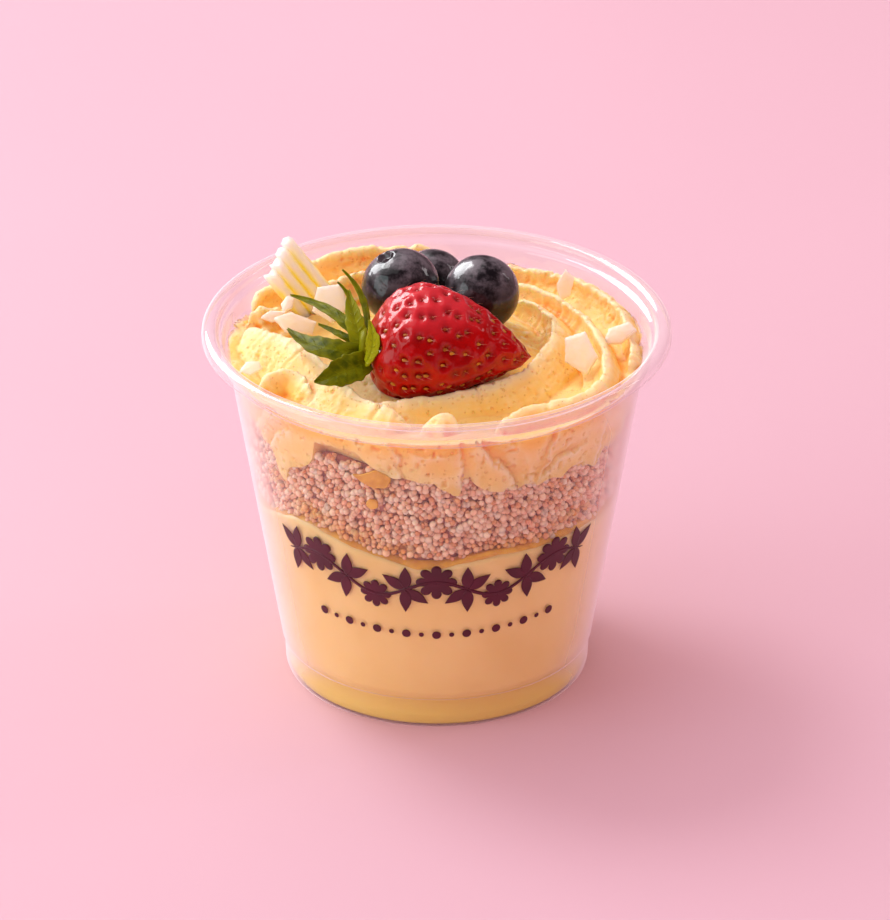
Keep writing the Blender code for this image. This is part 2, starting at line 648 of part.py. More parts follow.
def calyx_hub(name, grow):
    """Small cap on the stalk end that the leaves grow from."""
    frame = strawberry_frame()
    back = -CALYX_OFFSET - grow
    front = back + CALYX_THICKNESS + 2 * grow
    rows = [fixed_row(0, back), fixed_row(0.8 * CALYX_RADIUS + grow, back), fixed_row(CALYX_RADIUS + grow, front),
            fixed_row(0, front)]
    points, faces = turned(rows, 12)
    stand = Matrix(((0, 0, 1, 0), (1, 0, 0, 0), (0, 1, 0, 0), (0, 0, 0, 1)))
    points = [frame @ (stand @ point) for point in points]
    return make_object(name, points, faces, "leaf_green")


def build_calyx():
    calyx = calyx_hub("strawberry_calyx", 0.0)
    leaves = [leaf_body("leaf", *leaf) for leaf in LEAVES]
    combine(calyx, leaves, "UNION")
    combine(calyx, [strawberry_body("cut_strawberry", 2 * GAP)], "DIFFERENCE")
    for berry in BERRIES:
        combine(calyx, [berry_body("cut_berry", *berry, grow=GAP)], "DIFFERENCE")
    clean(calyx)
    return calyx


# ---------------------------------------------------------------- berries

def berry_body(name, centre, radius, crown, grow=0.0):
    """Round berry; with grow it is the plain ball that makes room for it."""
    turn = Vector(crown).to_track_quat("Z", "Y").to_matrix().to_4x4()
    frame = Matrix.Translation(Vector(centre)) @ turn
    size = radius + grow
    rows = [fixed_row(0, -0.94 * size)]
    rings = 7
    for ring in range(1, rings):
        lean = math.pi * ring / (rings + 0.6)
        rows.append(fixed_row(size * math.sin(lean), -0.94 * size * math.cos(lean)))
    if grow:
        rows.append(fixed_row(0.4 * size, 0.96 * size))
    else:
        rows.append(crown_row(0.40 * radius, 0.93 * radius, 0.04 * radius))
        rows.append(crown_row(0.29 * radius, 0.93 * radius, 0.03 * radius))
        rows.append(fixed_row(0.20 * radius, 0.80 * radius))
    rows.append(fixed_row(0, 0.96 * size if grow else 0.79 * radius))
    points, faces = turned(rows, BERRY_SIDES)
    points = [frame @ point for point in points]
    return make_object(name, points, faces, "berry_blue", sharp_degrees=60)


def crown_row(radius, height, flare):
    """Ring of the crown with its five points."""
    return lambda angle: (radius + 0.5 * flare * math.cos(5 * angle), height + flare * math.cos(5 * angle))


def build_berries():
    return [berry_body(f"blueberry_{number}", *berry) for number, berry in enumerate(BERRIES, start=1)]


# ---------------------------------------------------------------- white chocolate

def fan_ridge(index, grow):
    """One rounded ridge of the fan, longer on one side of the fan than on the other."""
    along = FAN_TOP - FAN_FOOT
    across = FAN_ACROSS.normalized()
    out = along.cross(across).normalized()
    start = FAN_FOOT + across * (index + 0.5) * FAN_RIDGE_PITCH
    end = start + along * FAN_RIDGE_ENDS[index]
    half_wide = FAN_RIDGE_WIDTH / 2 + grow
    half_thick = FAN_THICKNESS / 2 + grow
    sides = 8
    points = []
    for place, size in ((start, 1.0), (end - along.normalized() * 0.5, 1.0), (end + along.normalized() * grow, 0.7)):
        for side in range(sides):
            angle = math.tau * (side + 0.5) / sides
            points.append(place + across * half_wide * size * math.cos(angle)
                          + out * half_thick * size * math.sin(angle))
    faces = [tuple(range(sides)), tuple(reversed(range(2 * sides, 3 * sides)))]
    for ring in (0, sides):
        for side in range(sides):
            beside = (side + 1) % sides
            faces.append((ring + side, ring + beside, ring + sides + beside, ring + sides + side))
    return make_object("fan_ridge", points, faces, "white_chocolate")


def fan_body(name, grow):
    ridges = [fan_ridge(index, grow) for index in range(len(FAN_RIDGE_ENDS))]
    fan = ridges.pop(0)
    fan.name = name
    combine(fan, ridges, "UNION")
    clean(fan)
    return fan


def shard_body(name, centre, size, turn, grow=0.0):
    """Flat broken flake with uneven corners."""
    draw = random.Random(round(centre[0] * 10))
    place = Matrix.Translation(Vector(centre))
    for axis, degrees in zip("XYZ", turn):
        place = place @ Matrix.Rotation(math.radians(degrees), 4, axis)
    corners = []
    for step in range(5):
        angle = math.tau * (step + 0.5) / 5
        reach = 0.5 * draw.uniform(0.92, 1.16)
        corners.append(Vector((math.cos(angle) * (size[0] * reach + grow),
                               math.sin(angle) * (size[1] * reach + grow), 0)))
    bow = 0.12 * size[0]
    half = size[2] / 2 + grow
    points = []
    for side in (1, -1):
        points += [place @ (corner + Vector((0, 0, side * half))) for corner in corners]
        points.append(place @ Vector((0, 0, side * half + 0.35 * bow)))
    faces = []
    for step in range(5):
        beside = (step + 1) % 5
        faces.append((step, beside, 5))
        faces.append((6 + beside, 6 + step, 11))
        faces.append((beside, step, 6 + step, 6 + beside))
    return make_object(name, points, faces, "white_chocolate", sharp_degrees=30)


def build_chocolate():
    pieces = [fan_body("chocolate_fan", 0.0)]
    pieces += [shard_body(f"chocolate_shard_{number}", *shard) for number, shard in enumerate(SHARDS, start=1)]
    return pieces


def main():
    clear_scene()
    build_cup()
    build_mousse()
    build_sauce()
    build_sponge()
    build_cream()
    build_strawberry()
    build_calyx()
    build_berries()
    build_chocolate()


main()
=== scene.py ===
"""Looks of the cheesecake sundae: clear cup, mousse, sauce, crumb, mango cream, fruit and chocolate.

Shapes are worked out in millimetres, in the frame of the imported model, and become metres in add_mesh().
The cup's axis is the Z axis, and the camera looks along +Y.
"""

import math
import random

import bpy
import numpy as np
from mathutils import Matrix, Vector
from mathutils.kdtree import KDTree


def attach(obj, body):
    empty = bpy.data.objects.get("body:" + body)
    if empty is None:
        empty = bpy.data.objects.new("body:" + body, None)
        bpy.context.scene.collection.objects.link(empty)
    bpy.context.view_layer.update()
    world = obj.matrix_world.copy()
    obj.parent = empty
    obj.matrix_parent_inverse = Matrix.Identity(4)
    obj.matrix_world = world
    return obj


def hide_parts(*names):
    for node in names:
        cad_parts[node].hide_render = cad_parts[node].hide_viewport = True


MM = 0.001

# Camera, fitted to the photograph's rim, ledge and foot
CAMERA_AIM = Vector((1.7, 0.0, 45.07))
CAMERA_DISTANCE = 1200.0
CAMERA_ELEVATION = 27.46
CAMERA_LENS = 229.7
SENSOR = 36.0

# Cup, as in the solids
RIM_RADIUS = 47.5
CUP_HEIGHT = 76.5
WALL = 0.6
FOOT_RADIUS = 31.7
FOOT_HEIGHT = 6.9
FOOT_RECESS = 1.6
LEDGE_RADIUS = 32.1
WALL_START = FOOT_HEIGHT + 0.35
SHOULDER_RADIUS = 42.2
SHOULDER_HEIGHT = 69.5
NECK_STEP = 1.4
CURL_DROP = 2.5
CUP_SIDES = 192
INTO_WALL = 0.12              # what fills the cup reaches this far into its wall
VEIL = 0.04                   # milky share of the wall seen straight on
EDGE_VEIL = 0.72              # and seen edge on
RIM_VEIL = 0.25               # and along the thicker rim

# Light of the studio walls
WORLD_LEFT = 0.96
WORLD_RIGHT = 0.80
WORLD_GLOSS = 0.09

# Layers
FLOOR_TOP = FOOT_RECESS + WALL
MOUSSE_TOP = 41.5
SAUCE_TOP = MOUSSE_TOP + 1.2
CRUMB_TOP = 62.5
MOUSSE_SWELLS = ((-137, 3.4, 16), (-92, -1.3, 14), (178, -3.0, 24))    # angle, rise, half width
SAUCE_POOL = (-74, 13)        # angle where the sauce is thickest, half width in degrees
SAUCE_DROPS = (               # angle, height, half width, half height, length of the tail
    (-107.0, 60.6, 2.7, 2.3, 2.6), (-109.0, 54.4, 1.2, 1.3, 0.0))
CREAM_LOBES = (                                                        # angle, lowest point, half width
    (-146, 58.4, 13), (-141, 53.4, 3.5), (-98, 61.2, 9), (-85, 58.2, 4), (-71, 56.8, 9), (-57, 57.4, 6),
    (-38, 56.6, 8), (-24, 59.0, 8), (-5, 58.0, 10), (16, 57.0, 9), (40, 59.5, 12), (62, 57.5, 8),
    (88, 58.0, 13), (112, 60.0, 10), (135, 58.0, 9), (158, 59.5, 10), (178, 57.5, 8))
LOBE_ROUNDNESS = 3.2
CREAM_EDGE_LIMIT = 65.4
CREAM_FLOOR = 66.8
CREAM_CENTRE = 72.4
CREAM_WALL = 69.8
RIBBON_ROOT = 65.8

# The cream's ragged lower edge where it shows in front, and the folds pressed against the wall
FRONT_EDGE = (                # angle, height
    (-164.2, 64.5), (-154.0, 61.8), (-145.4, 59.6), (-142.6, 53.8), (-139.6, 52.8), (-139.2, 56.8),
    (-135.3, 57.6), (-129.5, 59.6), (-127.0, 62.4), (-126.2, 66.6), (-120.0, 66.5), (-112.5, 66.3),
    (-108.2, 63.6), (-101.4, 61.2), (-96.0, 61.1), (-90.6, 60.6), (-88.4, 58.9), (-84.8, 57.7),
    (-83.1, 58.2), (-82.7, 62.6), (-80.5, 61.3), (-77.5, 59.1), (-72.9, 57.0), (-67.8, 57.8), (-66.5, 57.4),
    (-58.7, 57.7), (-51.7, 57.6), (-45.4, 59.4), (-43.8, 58.0), (-35.1, 55.9), (-32.3, 58.4), (-28.0, 59.2),
    (-24.2, 59.2))
GAP_CRUMB_TOP = 62.6          # the crumb stays below this, so the cream overhangs it
WALL_FOLDS = (                # angles and heights along a fold, depth, reach of the slope on its right
    (((-84.9, 71.5), (-84.0, 67.5), (-83.4, 64.8), (-82.9, 61.0)), 0.9, 3.6),
    (((-78.6, 69.6), (-76.0, 67.0), (-73.5, 64.9), (-70.4, 62.4), (-67.2, 58.8)), 1.5, 5.0),
    (((-54.0, 71.0), (-54.6, 66.6), (-56.4, 63.0), (-58.6, 59.6)), 0.9, -3.4),
    (((-47.0, 62.6), (-51.8, 61.9), (-55.6, 60.0)), 1.4, -3.0),
    (((-144.8, 61.2), (-142.0, 63.8), (-138.0, 65.5)), 1.2, 3.4),
    (((-155.0, 61.6), (-149.0, 66.0), (-141.0, 69.6)), 0.8, 4.0),
    (((-97.0, 67.4), (-92.8, 66.4), (-87.0, 67.2)), 0.6, 2.4),
    (((-104.0, 71.0), (-101.0, 67.0), (-100.0, 62.0)), 0.7, 4.6),
    (((-36.0, 71.0), (-33.6, 66.8), (-36.0, 58.0)), 1.1, 4.6),
    (((-24.0, 70.0), (-20.0, 64.0), (-20.0, 58.0)), 1.2, 5.0),
    (((2.0, 70.0), (5.0, 64.0), (10.0, 57.0)), 1.3, 5.0),
    (((33.0, 70.0), (30.0, 64.0), (34.0, 57.0)), 1.1, 4.6),
    (((60.0, 70.0), (66.0, 64.5), (66.0, 57.0)), 1.4, 5.0),
    (((90.0, 70.0), (94.0, 64.0), (92.0, 58.0)), 1.2, 4.6),
    (((118.0, 70.0), (113.0, 65.0), (115.0, 57.0)), 1.3, 5.0),
    (((142.0, 70.0), (146.0, 64.0), (143.0, 57.0)), 1.1, 4.6),
    (((166.0, 70.0), (171.0, 65.0), (170.0, 58.0)), 1.3, 5.0))
FOLD_TURN = 0.45              # a fold's cliff is this wide
WET_CRUMB = (                 # angle, height, half width in degrees, half height: crumb soaked with sauce
    (-118.0, 45.2, 10.0, 2.2), (-132.0, 47.6, 8.0, 2.0), (-103.0, 43.6, 7.0, 1.3), (-148.0, 52.0, 5.0, 2.0),
    (-106.5, 58.6, 3.4, 2.0), (-64.0, 43.6, 12.0, 1.0), (-40.0, 46.0, 9.0, 1.2))

# Piped ribbons: lip points, (run, drop) of the outer and the inner face, width of the lip
RIBBONS = {
    "inner": (((16, 22, 71.4), (20.6, 17, 72), (23.4, 9, 72.8), (23.6, 2, 73), (21.8, -4.5, 72.6),
               (19, -10, 72), (13.5, -16.6, 71.5), (6, -20.4, 71), (-1.5, -22.2, 70.6), (-8.5, -23.8, 70.3),
               (-14, -23, 70.2)), (6.5, 5.2), (3.0, 5.0), 1.2),
    "outer": (((15.5, 29, 71.2), (19, 26.4, 72), (25, 19, 72.5), (30, 10, 73), (33, -1, 73.2),
               (34, -10.6, 73.2), (33, -19, 73), (28.8, -25, 72.5), (23, -27, 72), (17, -29, 71.5),
               (11.5, -34.5, 70.8)),
              (4.0, 5.5), (4.5, 4.8), 2.2),
    "far": (((7, 38.5, 70), (13, 37, 71.2), (19, 34.4, 71.8), (25.5, 30, 72.5), (31, 24, 73), (36, 16.6, 73),
             (38.6, 8, 72.4), (39.6, -1, 71.6), (39, -9, 70.8)), (5.0, 4.5), (4.5, 5.0), 1.8),
    "left": (((-39.5, 7.5, 72), (-34, 2.4, 73), (-28, -3.4, 73), (-22.5, -10.5, 72.5), (-18.5, -18.5, 71.6),
              (-12, -25.5, 70.7), (-5, -29, 70)), (9.0, 4.8), (3.5, 5.0), 1.8),
    "curl": (((-36.5, -17, 70.3), (-33, -13.5, 71.6), (-29.4, -12.4, 72), (-26.4, -15.2, 71.4),
              (-24.4, -20, 70)), (4.0, 4.6), (3.0, 4.0), 1.2),
    "back": (((-29, 29, 74.4), (-23, 33, 75.4), (-15.5, 36.2, 75.8), (-8.7, 38, 75.2), (-2, 39.2, 74.2),
              (4, 38.6, 72)), (4.0, 4.0), (5.0, 6.0), 2.8),
    "back_low": (((-24, 23.6, 71.4), (-20.6, 27, 72.8), (-16.4, 30, 73.2), (-11, 31.6, 72.4)),
                 (3.4, 4.0), (3.0, 4.5), 1.4),
    "lobe": (((-38, 17.6, 71.8), (-36.4, 21, 73), (-33.4, 23.4, 73.6), (-29.6, 23.6, 73.2)),
             (3.6, 4.0), (3.6, 4.5), 2.6),
    "ledge": (((-39.5, 11.4, 71.6), (-36, 13.4, 72.6), (-31.6, 13.6, 72.6), (-27.5, 11.6, 71.8)),
              (3.0, 4.0), (3.0, 4.0), 1.8),
    "front": (((-3.4, -33, 69.6), (-0.6, -31.8, 71), (2.2, -31.6, 71.4), (5, -33.4, 70.4)),
              (5.0, 4.0), (3.0, 3.5), 2.2),
}
RIBBON_STEP = 0.5
LIP_SHARE = 0.45              # the lips are torn thinner than they were piped
RAGGED_REACH = 2.6            # a lip's waves and tears fade this far from it
LARGE_PORES = 420
HOLLOW_REACH = 1.6            # hollows are measured against surroundings of this size
TORN_SPOTS = (                # centre, reach, strength of the torn and crumbly places
    ((19, 7, 71), 5.5, 1.3), ((14, 12, 72), 5.0, 1.2), ((25, 33, 72), 9.0, 0.8), ((37, 18, 72), 7.0, 0.7),
    ((-35, 12, 72), 6.0, 1.2), ((-24, -22, 69), 8.0, 0.5), ((-15, 35, 73), 9.0, 0.6),
    ((-37, 22, 72), 6.0, 0.5), ((-26, 10, 72), 6.0, 1.1), ((-37, -6, 71), 5.0, 0.7))
CREAM_VOXEL = 0.36

# Generic plum print on the front of the wall
PRINT_HEIGHT = 34.5
GARLAND_REACH = 33.5
GARLAND_WAVE = 25.0
BLOSSOM_SIZES = (4.1, 3.3)    # large and small ones take turns, and the dots do too
GARLAND_LEAF = (5.6, 2.5)     # length and width
LEAF_LEANS = (62, -62, 118, -118)
DOT_HEIGHT = 23.5
DOT_SPACING = 3.2
DOT_SIZES = (0.95, 0.55)
INK_LOW = 0.03
INK_HIGH = 0.07

# Crumb
CRUMB_CORE_DEPTH = 1.9        # the core lies this far inside the wall, behind the grains
# darker tones of the core: painted shade for the gaps between the grains
CRUMB_CORE_SHADE_TONES = ((196, 128, 96), (150, 84, 60))
CRUMB_PITCH = 1.22            # spacing of the outer grains
GRAIN_KINDS = (               # name, upper end of its share of the draws, range of radii, pale and dark tone
    ("crumb_grain_pale", 0.36, (0.62, 0.86), (255, 233, 196), (250, 206, 166)),
    ("crumb_grain_pink", 0.74, (0.52, 0.76), (250, 210, 170), (232, 172, 132)),
    ("crumb_grain_tan", 1.00, (0.42, 0.64), (238, 186, 130), (204, 138, 90)))

# Toppings
STRAWBERRY_STALK_END = Vector((-13.6, -12.2, 77.2))
STRAWBERRY_TIP = Vector((19.3, -11.2, 74.2))
STRAWBERRY_LENGTH = (STRAWBERRY_TIP - STRAWBERRY_STALK_END).length
STRAWBERRY_RADIUS = 12.0
STRAWBERRY_SHOULDER = 0.58
STRAWBERRY_FULLNESS = 0.80
STRAWBERRY_BEND = 1.8         # the fruit arches upward by this at mid length
CREST_HEIGHT = 82.6           # the skin is painted paler above this, partly paler skin and partly painted highlight
CREST_RISE = 4.5
CREST_RIGHT = 16.0            # and to the left of this
CREST_FADE = 8.0
SEED_ROWS = 13
SEED_SPACING = 4.3
BERRIES = (                   # centre, radius, direction of the crown
    ((-7.4, 11.6, 79.0), 8.0, (-0.43, -0.05, 0.90)),
    ((9.1, 10.4, 78.0), 7.8, (0.45, 0.80, -0.40)),
    ((-0.8, 24.6, 73.4), 7.3, (0.30, 0.75, 0.58)))
CROWN_SHARE = 0.23            # radius of a crown's ring as a share of the berry's
FAN_FOOT = Vector((-21.0, 26.0, 70.6))      # its right edge
FAN_TOP = Vector((-30.0, 23.4, 84.5))
FAN_ACROSS = Vector((-0.74, -0.58, -0.45))
FAN_RIDGE_ENDS = (1.0, 0.93, 0.86, 0.79)
FAN_RIDGE_PITCH = 2.4
FAN_THICKNESS = 3.0
FAN_GROOVE_DEPTH = 0.85
SHARDS = (                    # centre, size, turn about X, Y and Z in degrees
    ((-21.6, 12.6, 74.6), (7.6, 8.4, 0.9), (48, -14, 22)),
    ((-28.6, 2.6, 74.8), (9.4, 5.0, 0.9), (26, 10, -10)),
    ((28.8, -7.4, 73.2), (6.6, 9.6, 1.0), (44, -20, 28)),
    ((37.2, 2.0, 72.8), (7.4, 4.2, 0.9), (32, -12, 30)),
    ((26.4, 23.6, 73.2), (3.4, 6.4, 0.8), (56, 8, -12)))
CHIPS = (                     # smaller crumbs of chocolate, in the same terms
    ((-37.0, -11.4, 71.8), (4.6, 3.4, 0.6), (24, -10, 14)),
    ((-33.0, 8.4, 73.6), (5.0, 2.6, 0.7), (30, 10, 12)),
    ((-30.4, 13.6, 74.0), (4.6, 2.6, 0.7), (24, -8, 70)))
LEAF_THICKNESS = 0.45
LEAVES = (                    # root, middle and tip of the midrib, width, roll about the midrib in degrees
    ((-14.8, -12.0, 77.6), (-20.4, -4.8, 80.6), (-29.6, 5.5, 79.8), 2.6, 0),
    ((-14.6, -13.6, 76.6), (-23.2, -12.9, 77.2), (-30.1, -1.8, 75.8), 5.0, 10),
    ((-15.0, -12.0, 77.0), (-19.4, -8.6, 78.0), (-23.8, -3.4, 77.6), 1.5, 0),
    ((-14.8, -13.8, 77.0), (-16.4, -9.0, 81.0), (-17.7, -1.8, 84.5), 4.2, 0),
    ((-13.9, -9.0, 79.0), (-15.0, -2.0, 83.0), (-19.0, 3.6, 86.4), 1.3, 0),
    ((-15.2, -8.6, 79.0), (-17.0, -2.0, 82.0), (-20.0, 1.7, 84.6), 1.0, 0),
    ((-14.0, -18.2, 76.2), (-12.6, -17.6, 80.0), (-13.4, -13.6, 83.6), 3.2, -28),
    ((-13.6, -15.8, 75.8), (-18.8, -20.4, 75.2), (-24.3, -21.3, 73.6), 7.0, 0))
LEAF_LIGHT = (0.1, 0.0, 0.0, 0.45, 0.2, 0.3, 0.9, 0.0)    # share of painted light, in yellow green, on each leaf
CALYX_RADIUS = 3.6
CALYX_THICKNESS = 1.4
CALYX_OFFSET = 1.9

LIGHTS = (                    # name, place and aim in metres, size, power, colour
    ("key", (-0.48, 0.42, 0.85), (0, 0, 0.05), 0.42, 3.6, (1.0, 1.0, 1.0)),
    ("wide_key", (-0.48, 0.44, 0.92), (0, 0, 0.05), 1.5, 4.3, (1.0, 1.0, 1.0)),
    ("left_fill", (-1.0, -0.35, 0.42), (0, 0, 0.05), 0.8, 3.8, (0.80, 1.0, 1.0)),
    ("window", (-0.63, 0.58, 0.55), (0, 0, 0.08), 0.8, 15.0, (0.96, 0.98, 1.0)),
    ("right_strip", (0.85, 0.30, 0.55), (0, 0, 0.07), 0.07, 0.5, (1.0, 0.95, 0.95)))
STRIP_LENGTH = 0.5
FLOOR_REACH = 3000.0


# ---------------------------------------------------------------- mesh helpers

def link_object(name, data):
    """Object in the scene for a mesh, light or camera."""
    made = bpy.data.objects.new(name, data)
    bpy.context.scene.collection.objects.link(made)
    return made


def add_mesh(name, points, faces, material):
    """Object from points in millimetres (rows of x, y, z) and faces of three or more corners."""
    mesh = bpy.data.meshes.new(name)
    if isinstance(faces, np.ndarray):
        faces = faces.tolist()
    mesh.from_pydata((np.asarray(points, float) * MM).tolist(), [], faces)
    mesh.validate()
    mesh.materials.append(material)
    mesh.shade_smooth()
    return link_object(name, mesh)


def dress(piece, node=None):
    """Give a piece its body, and let it stand for a CAD node where one is named."""
    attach(piece, "root")
    if node:
        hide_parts(node)


def add_piece(name, shape, material, slot, node=None, **tints):
    """Dressed piece from (points, faces), with the tints that its material reads."""
    piece = add_mesh(name, *shape, material)
    for tint, values in tints.items():
        set_tint(piece.data, tint, values)
    dress(piece, node)
    return piece


def read_points(mesh):
    """Vertices of a mesh as an array in millimetres."""
    points = np.zeros(len(mesh.vertices) * 3)
    mesh.vertices.foreach_get("co", points)
    return points.reshape(-1, 3) / MM


def write_points(mesh, points):
    mesh.vertices.foreach_set("co", (points * MM).ravel())
    mesh.update()


def read_normals(mesh):
    normals = np.zeros(len(mesh.vertices) * 3)
    mesh.vertex_normals.foreach_get("vector", normals)
    return normals.reshape(-1, 3)


def set_tint(mesh, name, values):
    """Store one number from 0 to 1 for each vertex, which a material reads by name."""
    layer = mesh.attributes.new(name, "FLOAT", "POINT")
    layer.data.foreach_set("value", np.clip(values, 0.0, 1.0).astype(np.float32))


def even_angles(count):
    """Angles of even steps round the axis."""
    return np.arange(count) * math.tau / count


def round_axis(radius, angle, height):
    """Points at a radius and an angle round the Z axis, and at a height."""
    return np.column_stack(np.broadcast_arrays(radius * np.cos(angle), radius * np.sin(angle), height))


def capped_faces(rings, sides):
    """Faces of a closed surface whose points are one end, that many rings, and the other end."""
    here = np.arange(sides)
    after = (here + 1) % sides
    last = 1 + rings * sides
    start = np.stack([0 * here, 1 + after, 1 + here], 1)
    quads = np.stack([here, after, sides + after, sides + here], 1) \
        + (1 + sides * np.arange(rings - 1))[:, None, None]
    end = np.stack([0 * here + last, last - sides + here, last - sides + after], 1)
    return start.tolist() + quads.reshape(-1, 4).tolist() + end.tolist()


def slab_faces(rows, columns):
    """Faces of two alike grids of points, the second behind the first, and of the edge between them."""
    under = rows * columns
    faces = []
    for row in range(rows - 1):
        for a in range(row * columns, (row + 1) * columns - 1):
            quad = (a, a + 1, a + columns + 1, a + columns)
            faces += [quad, tuple(corner + under for corner in quad[::-1])]
    grid = np.arange(under).reshape(rows, columns)
    outline = np.concatenate([grid[0], grid[1:, -1], grid[-1, -2::-1], grid[-2:0:-1, 0]]).tolist()
    for here, beyond in zip(outline, outline[1:] + outline[:1]):
        faces.append((beyond, here, here + under, beyond + under))
    return faces


def turned_over(faces):
    """The same faces with their fronts on the other side."""
    return [tuple(face)[::-1] for face in faces]


def turned(rows, sides):
    """Closed surface of rings of (radii, heights), each a number or one for every side.

    The first and last rows are points on the axis.
    """
    angles = even_angles(sides)
    points = [round_axis(0.0, 0.0, rows[0][1])]
    points += [round_axis(radius, angles, height) for radius, height in rows[1:-1]]
    points.append(round_axis(0.0, 0.0, rows[-1][1]))
    return np.concatenate(points), capped_faces(len(rows) - 2, sides)


def nearest(points, targets):
    """Index of the nearest target to each point, and its distance."""
    tree = KDTree(len(targets))
    for index, target in enumerate(targets):
        tree.insert(target, index)
    tree.balance()
    found = [tree.find(point)[1:] for point in points]
    return np.array([index for index, _ in found]), np.array([away for _, away in found])


def merge_meshes(parts):
    """Join (points, faces) pairs into one pair."""
    points = []
    faces = []
    count = 0
    for part_points, part_faces in parts:
        points.append(np.asarray(part_points, float))
        faces += [tuple(corner + count for corner in face) for face in part_faces]
        count += len(part_points)
    return np.concatenate(points), faces


def sphere_mesh(level):
    """Unit icosphere as (points, faces)."""
    golden = (1 + 5 ** 0.5) / 2
    points = [Vector(p).normalized() for p in (
        (-1, golden, 0), (1, golden, 0), (-1, -golden, 0), (1, -golden, 0), (0, -1, golden), (0, 1, golden),
        (0, -1, -golden), (0, 1, -golden), (golden, 0, -1), (golden, 0, 1), (-golden, 0, -1),
        (-golden, 0, 1))]
    faces = [(0, 11, 5), (0, 5, 1), (0, 1, 7), (0, 7, 10), (0, 10, 11), (1, 5, 9), (5, 11, 4), (11, 10, 2),
             (10, 7, 6), (7, 1, 8), (3, 9, 4), (3, 4, 2), (3, 2, 6), (3, 6, 8), (3, 8, 9), (4, 9, 5),
             (2, 4, 11), (6, 2, 10), (8, 6, 7), (9, 8, 1)]
    for _ in range(level):
        middles = {}
        finer = []
        for a, b, c in faces:
            corners = []
            for edge in ((a, b), (b, c), (c, a)):
                key = tuple(sorted(edge))
                if key not in middles:
                    middles[key] = len(points)
                    points.append(((points[edge[0]] + points[edge[1]]) / 2).normalized())
                corners.append(middles[key])
            ab, bc, ca = corners
            finer += [(a, ab, ca), (b, bc, ab), (c, ca, bc), (ab, bc, ca)]
        faces = finer
    return np.array([tuple(p) for p in points]), faces


def scatter(shape, centres, sizes, turns):
    """One mesh of many copies of a small shape, each with its centre, size (x, y, z) and turn matrix."""
    base_points, base_faces = shape
    scaled = np.einsum("nij,npj->npi", turns, base_points[None] * sizes[:, None, :])
    points = scaled + centres[:, None, :]
    base_faces = np.array(base_faces)
    faces = base_faces[None] + (np.arange(len(centres)) * len(base_points))[:, None, None]
    return points.reshape(-1, 3), faces.reshape(-1, base_faces.shape[1])


def random_turns(count, draw):
    """Random rotation matrices."""
    quaternions = draw.normal(size=(count, 4))
    quaternions /= np.linalg.norm(quaternions, axis=1)[:, None]
    w, x, y, z = quaternions.T
    return np.stack([
        np.stack([1 - 2 * (y * y + z * z), 2 * (x * y - z * w), 2 * (x * z + y * w)], 1),
        np.stack([2 * (x * y + z * w), 1 - 2 * (x * x + z * z), 2 * (y * z - x * w)], 1),
        np.stack([2 * (x * z - y * w), 2 * (y * z + x * w), 1 - 2 * (x * x + y * y)], 1)], 1)


def lattice_value(cell, seed):
    """Repeatable number from -1 to 1 for every integer cell (rows of x, y, z)."""
    cell = cell.astype(np.int64)
    mixed = cell[:, 0] * 374761393 + cell[:, 1] * 668265263 + cell[:, 2] * 1274126177 + seed * 974634777
    mixed = (mixed ^ (mixed >> 13)) * 1103515245
    mixed = (mixed ^ (mixed >> 16)) & 0xFFFFFF
    return mixed / 0x7FFFFF - 1.0


def value_noise(points, size, seed=0):
    """Smooth noise from -1 to 1 at points, with lumps of about that size."""
    place = np.asarray(points, float) / size
    cell = np.floor(place)
    part = place - cell
    part = part * part * part * (part * (part * 6 - 15) + 10)
    total = np.zeros(len(place))
    for corner in range(8):
        step = np.array([corner & 1, (corner >> 1) & 1, (corner >> 2) & 1])
        share = np.prod(np.where(step, part, 1 - part), axis=1)
        total += share * lattice_value(cell + step, seed)
    return total


# ---------------------------------------------------------------- shared form of the solids

def degrees_between(angle, centre_degrees):
    """Signed angle from the centre in degrees, from -180 to 180."""
    return (np.degrees(angle) - centre_degrees + 180) % 360 - 180


def sauce_pool(angle):
    """1 where the sauce is thickest at the wall, falling to 0 on both sides."""
    middle, width = SAUCE_POOL
    return np.exp(-(degrees_between(angle, middle) / width) ** 2)


def inner_radius(height):
    """Inside radius of the cup's straight wall at a height."""
    slope = (SHOULDER_RADIUS - LEDGE_RADIUS) / (SHOULDER_HEIGHT - FOOT_HEIGHT)
    return LEDGE_RADIUS - WALL + slope * (height - FOOT_HEIGHT)


def level_rows(shares, level):
    """Rings at shares of the cup's inside radius, at the heights that level gives for each share."""
    return [(inner_radius(level(share)) * share, level(share)) for share in shares]


def room_radius(height):
    """Inside radius of the whole cup above the foot, with the shoulder and the neck."""
    neck = SHOULDER_RADIUS + NECK_STEP - 0.7
    above = np.clip((height - SHOULDER_HEIGHT) / 1.2, 0, 1)
    straight = inner_radius(np.minimum(height, SHOULDER_HEIGHT))
    return straight + (neck - inner_radius(SHOULDER_HEIGHT)) * above


def layer_height(base, angle, share):
    """Height of the wavy level between the mousse and the crumb."""
    rise = 0.5 * np.sin(5 * angle) + 0.35 * np.sin(9 * angle + 1.0)
    for centre, swell, width in MOUSSE_SWELLS:
        rise = rise + swell * np.exp(-(degrees_between(angle, centre) / width) ** 2)
    return base + rise * share * share


def cream_edge(angle):
    """Height of the cream's lobed lower edge where it shows at the wall."""
    lowest = np.full(np.shape(angle), CREAM_EDGE_LIMIT)
    for centre, height, width in CREAM_LOBES:
        away = np.abs(degrees_between(angle, centre)) / width
        lowest = np.minimum(lowest, height + LOBE_ROUNDNESS * away * away)
    return lowest


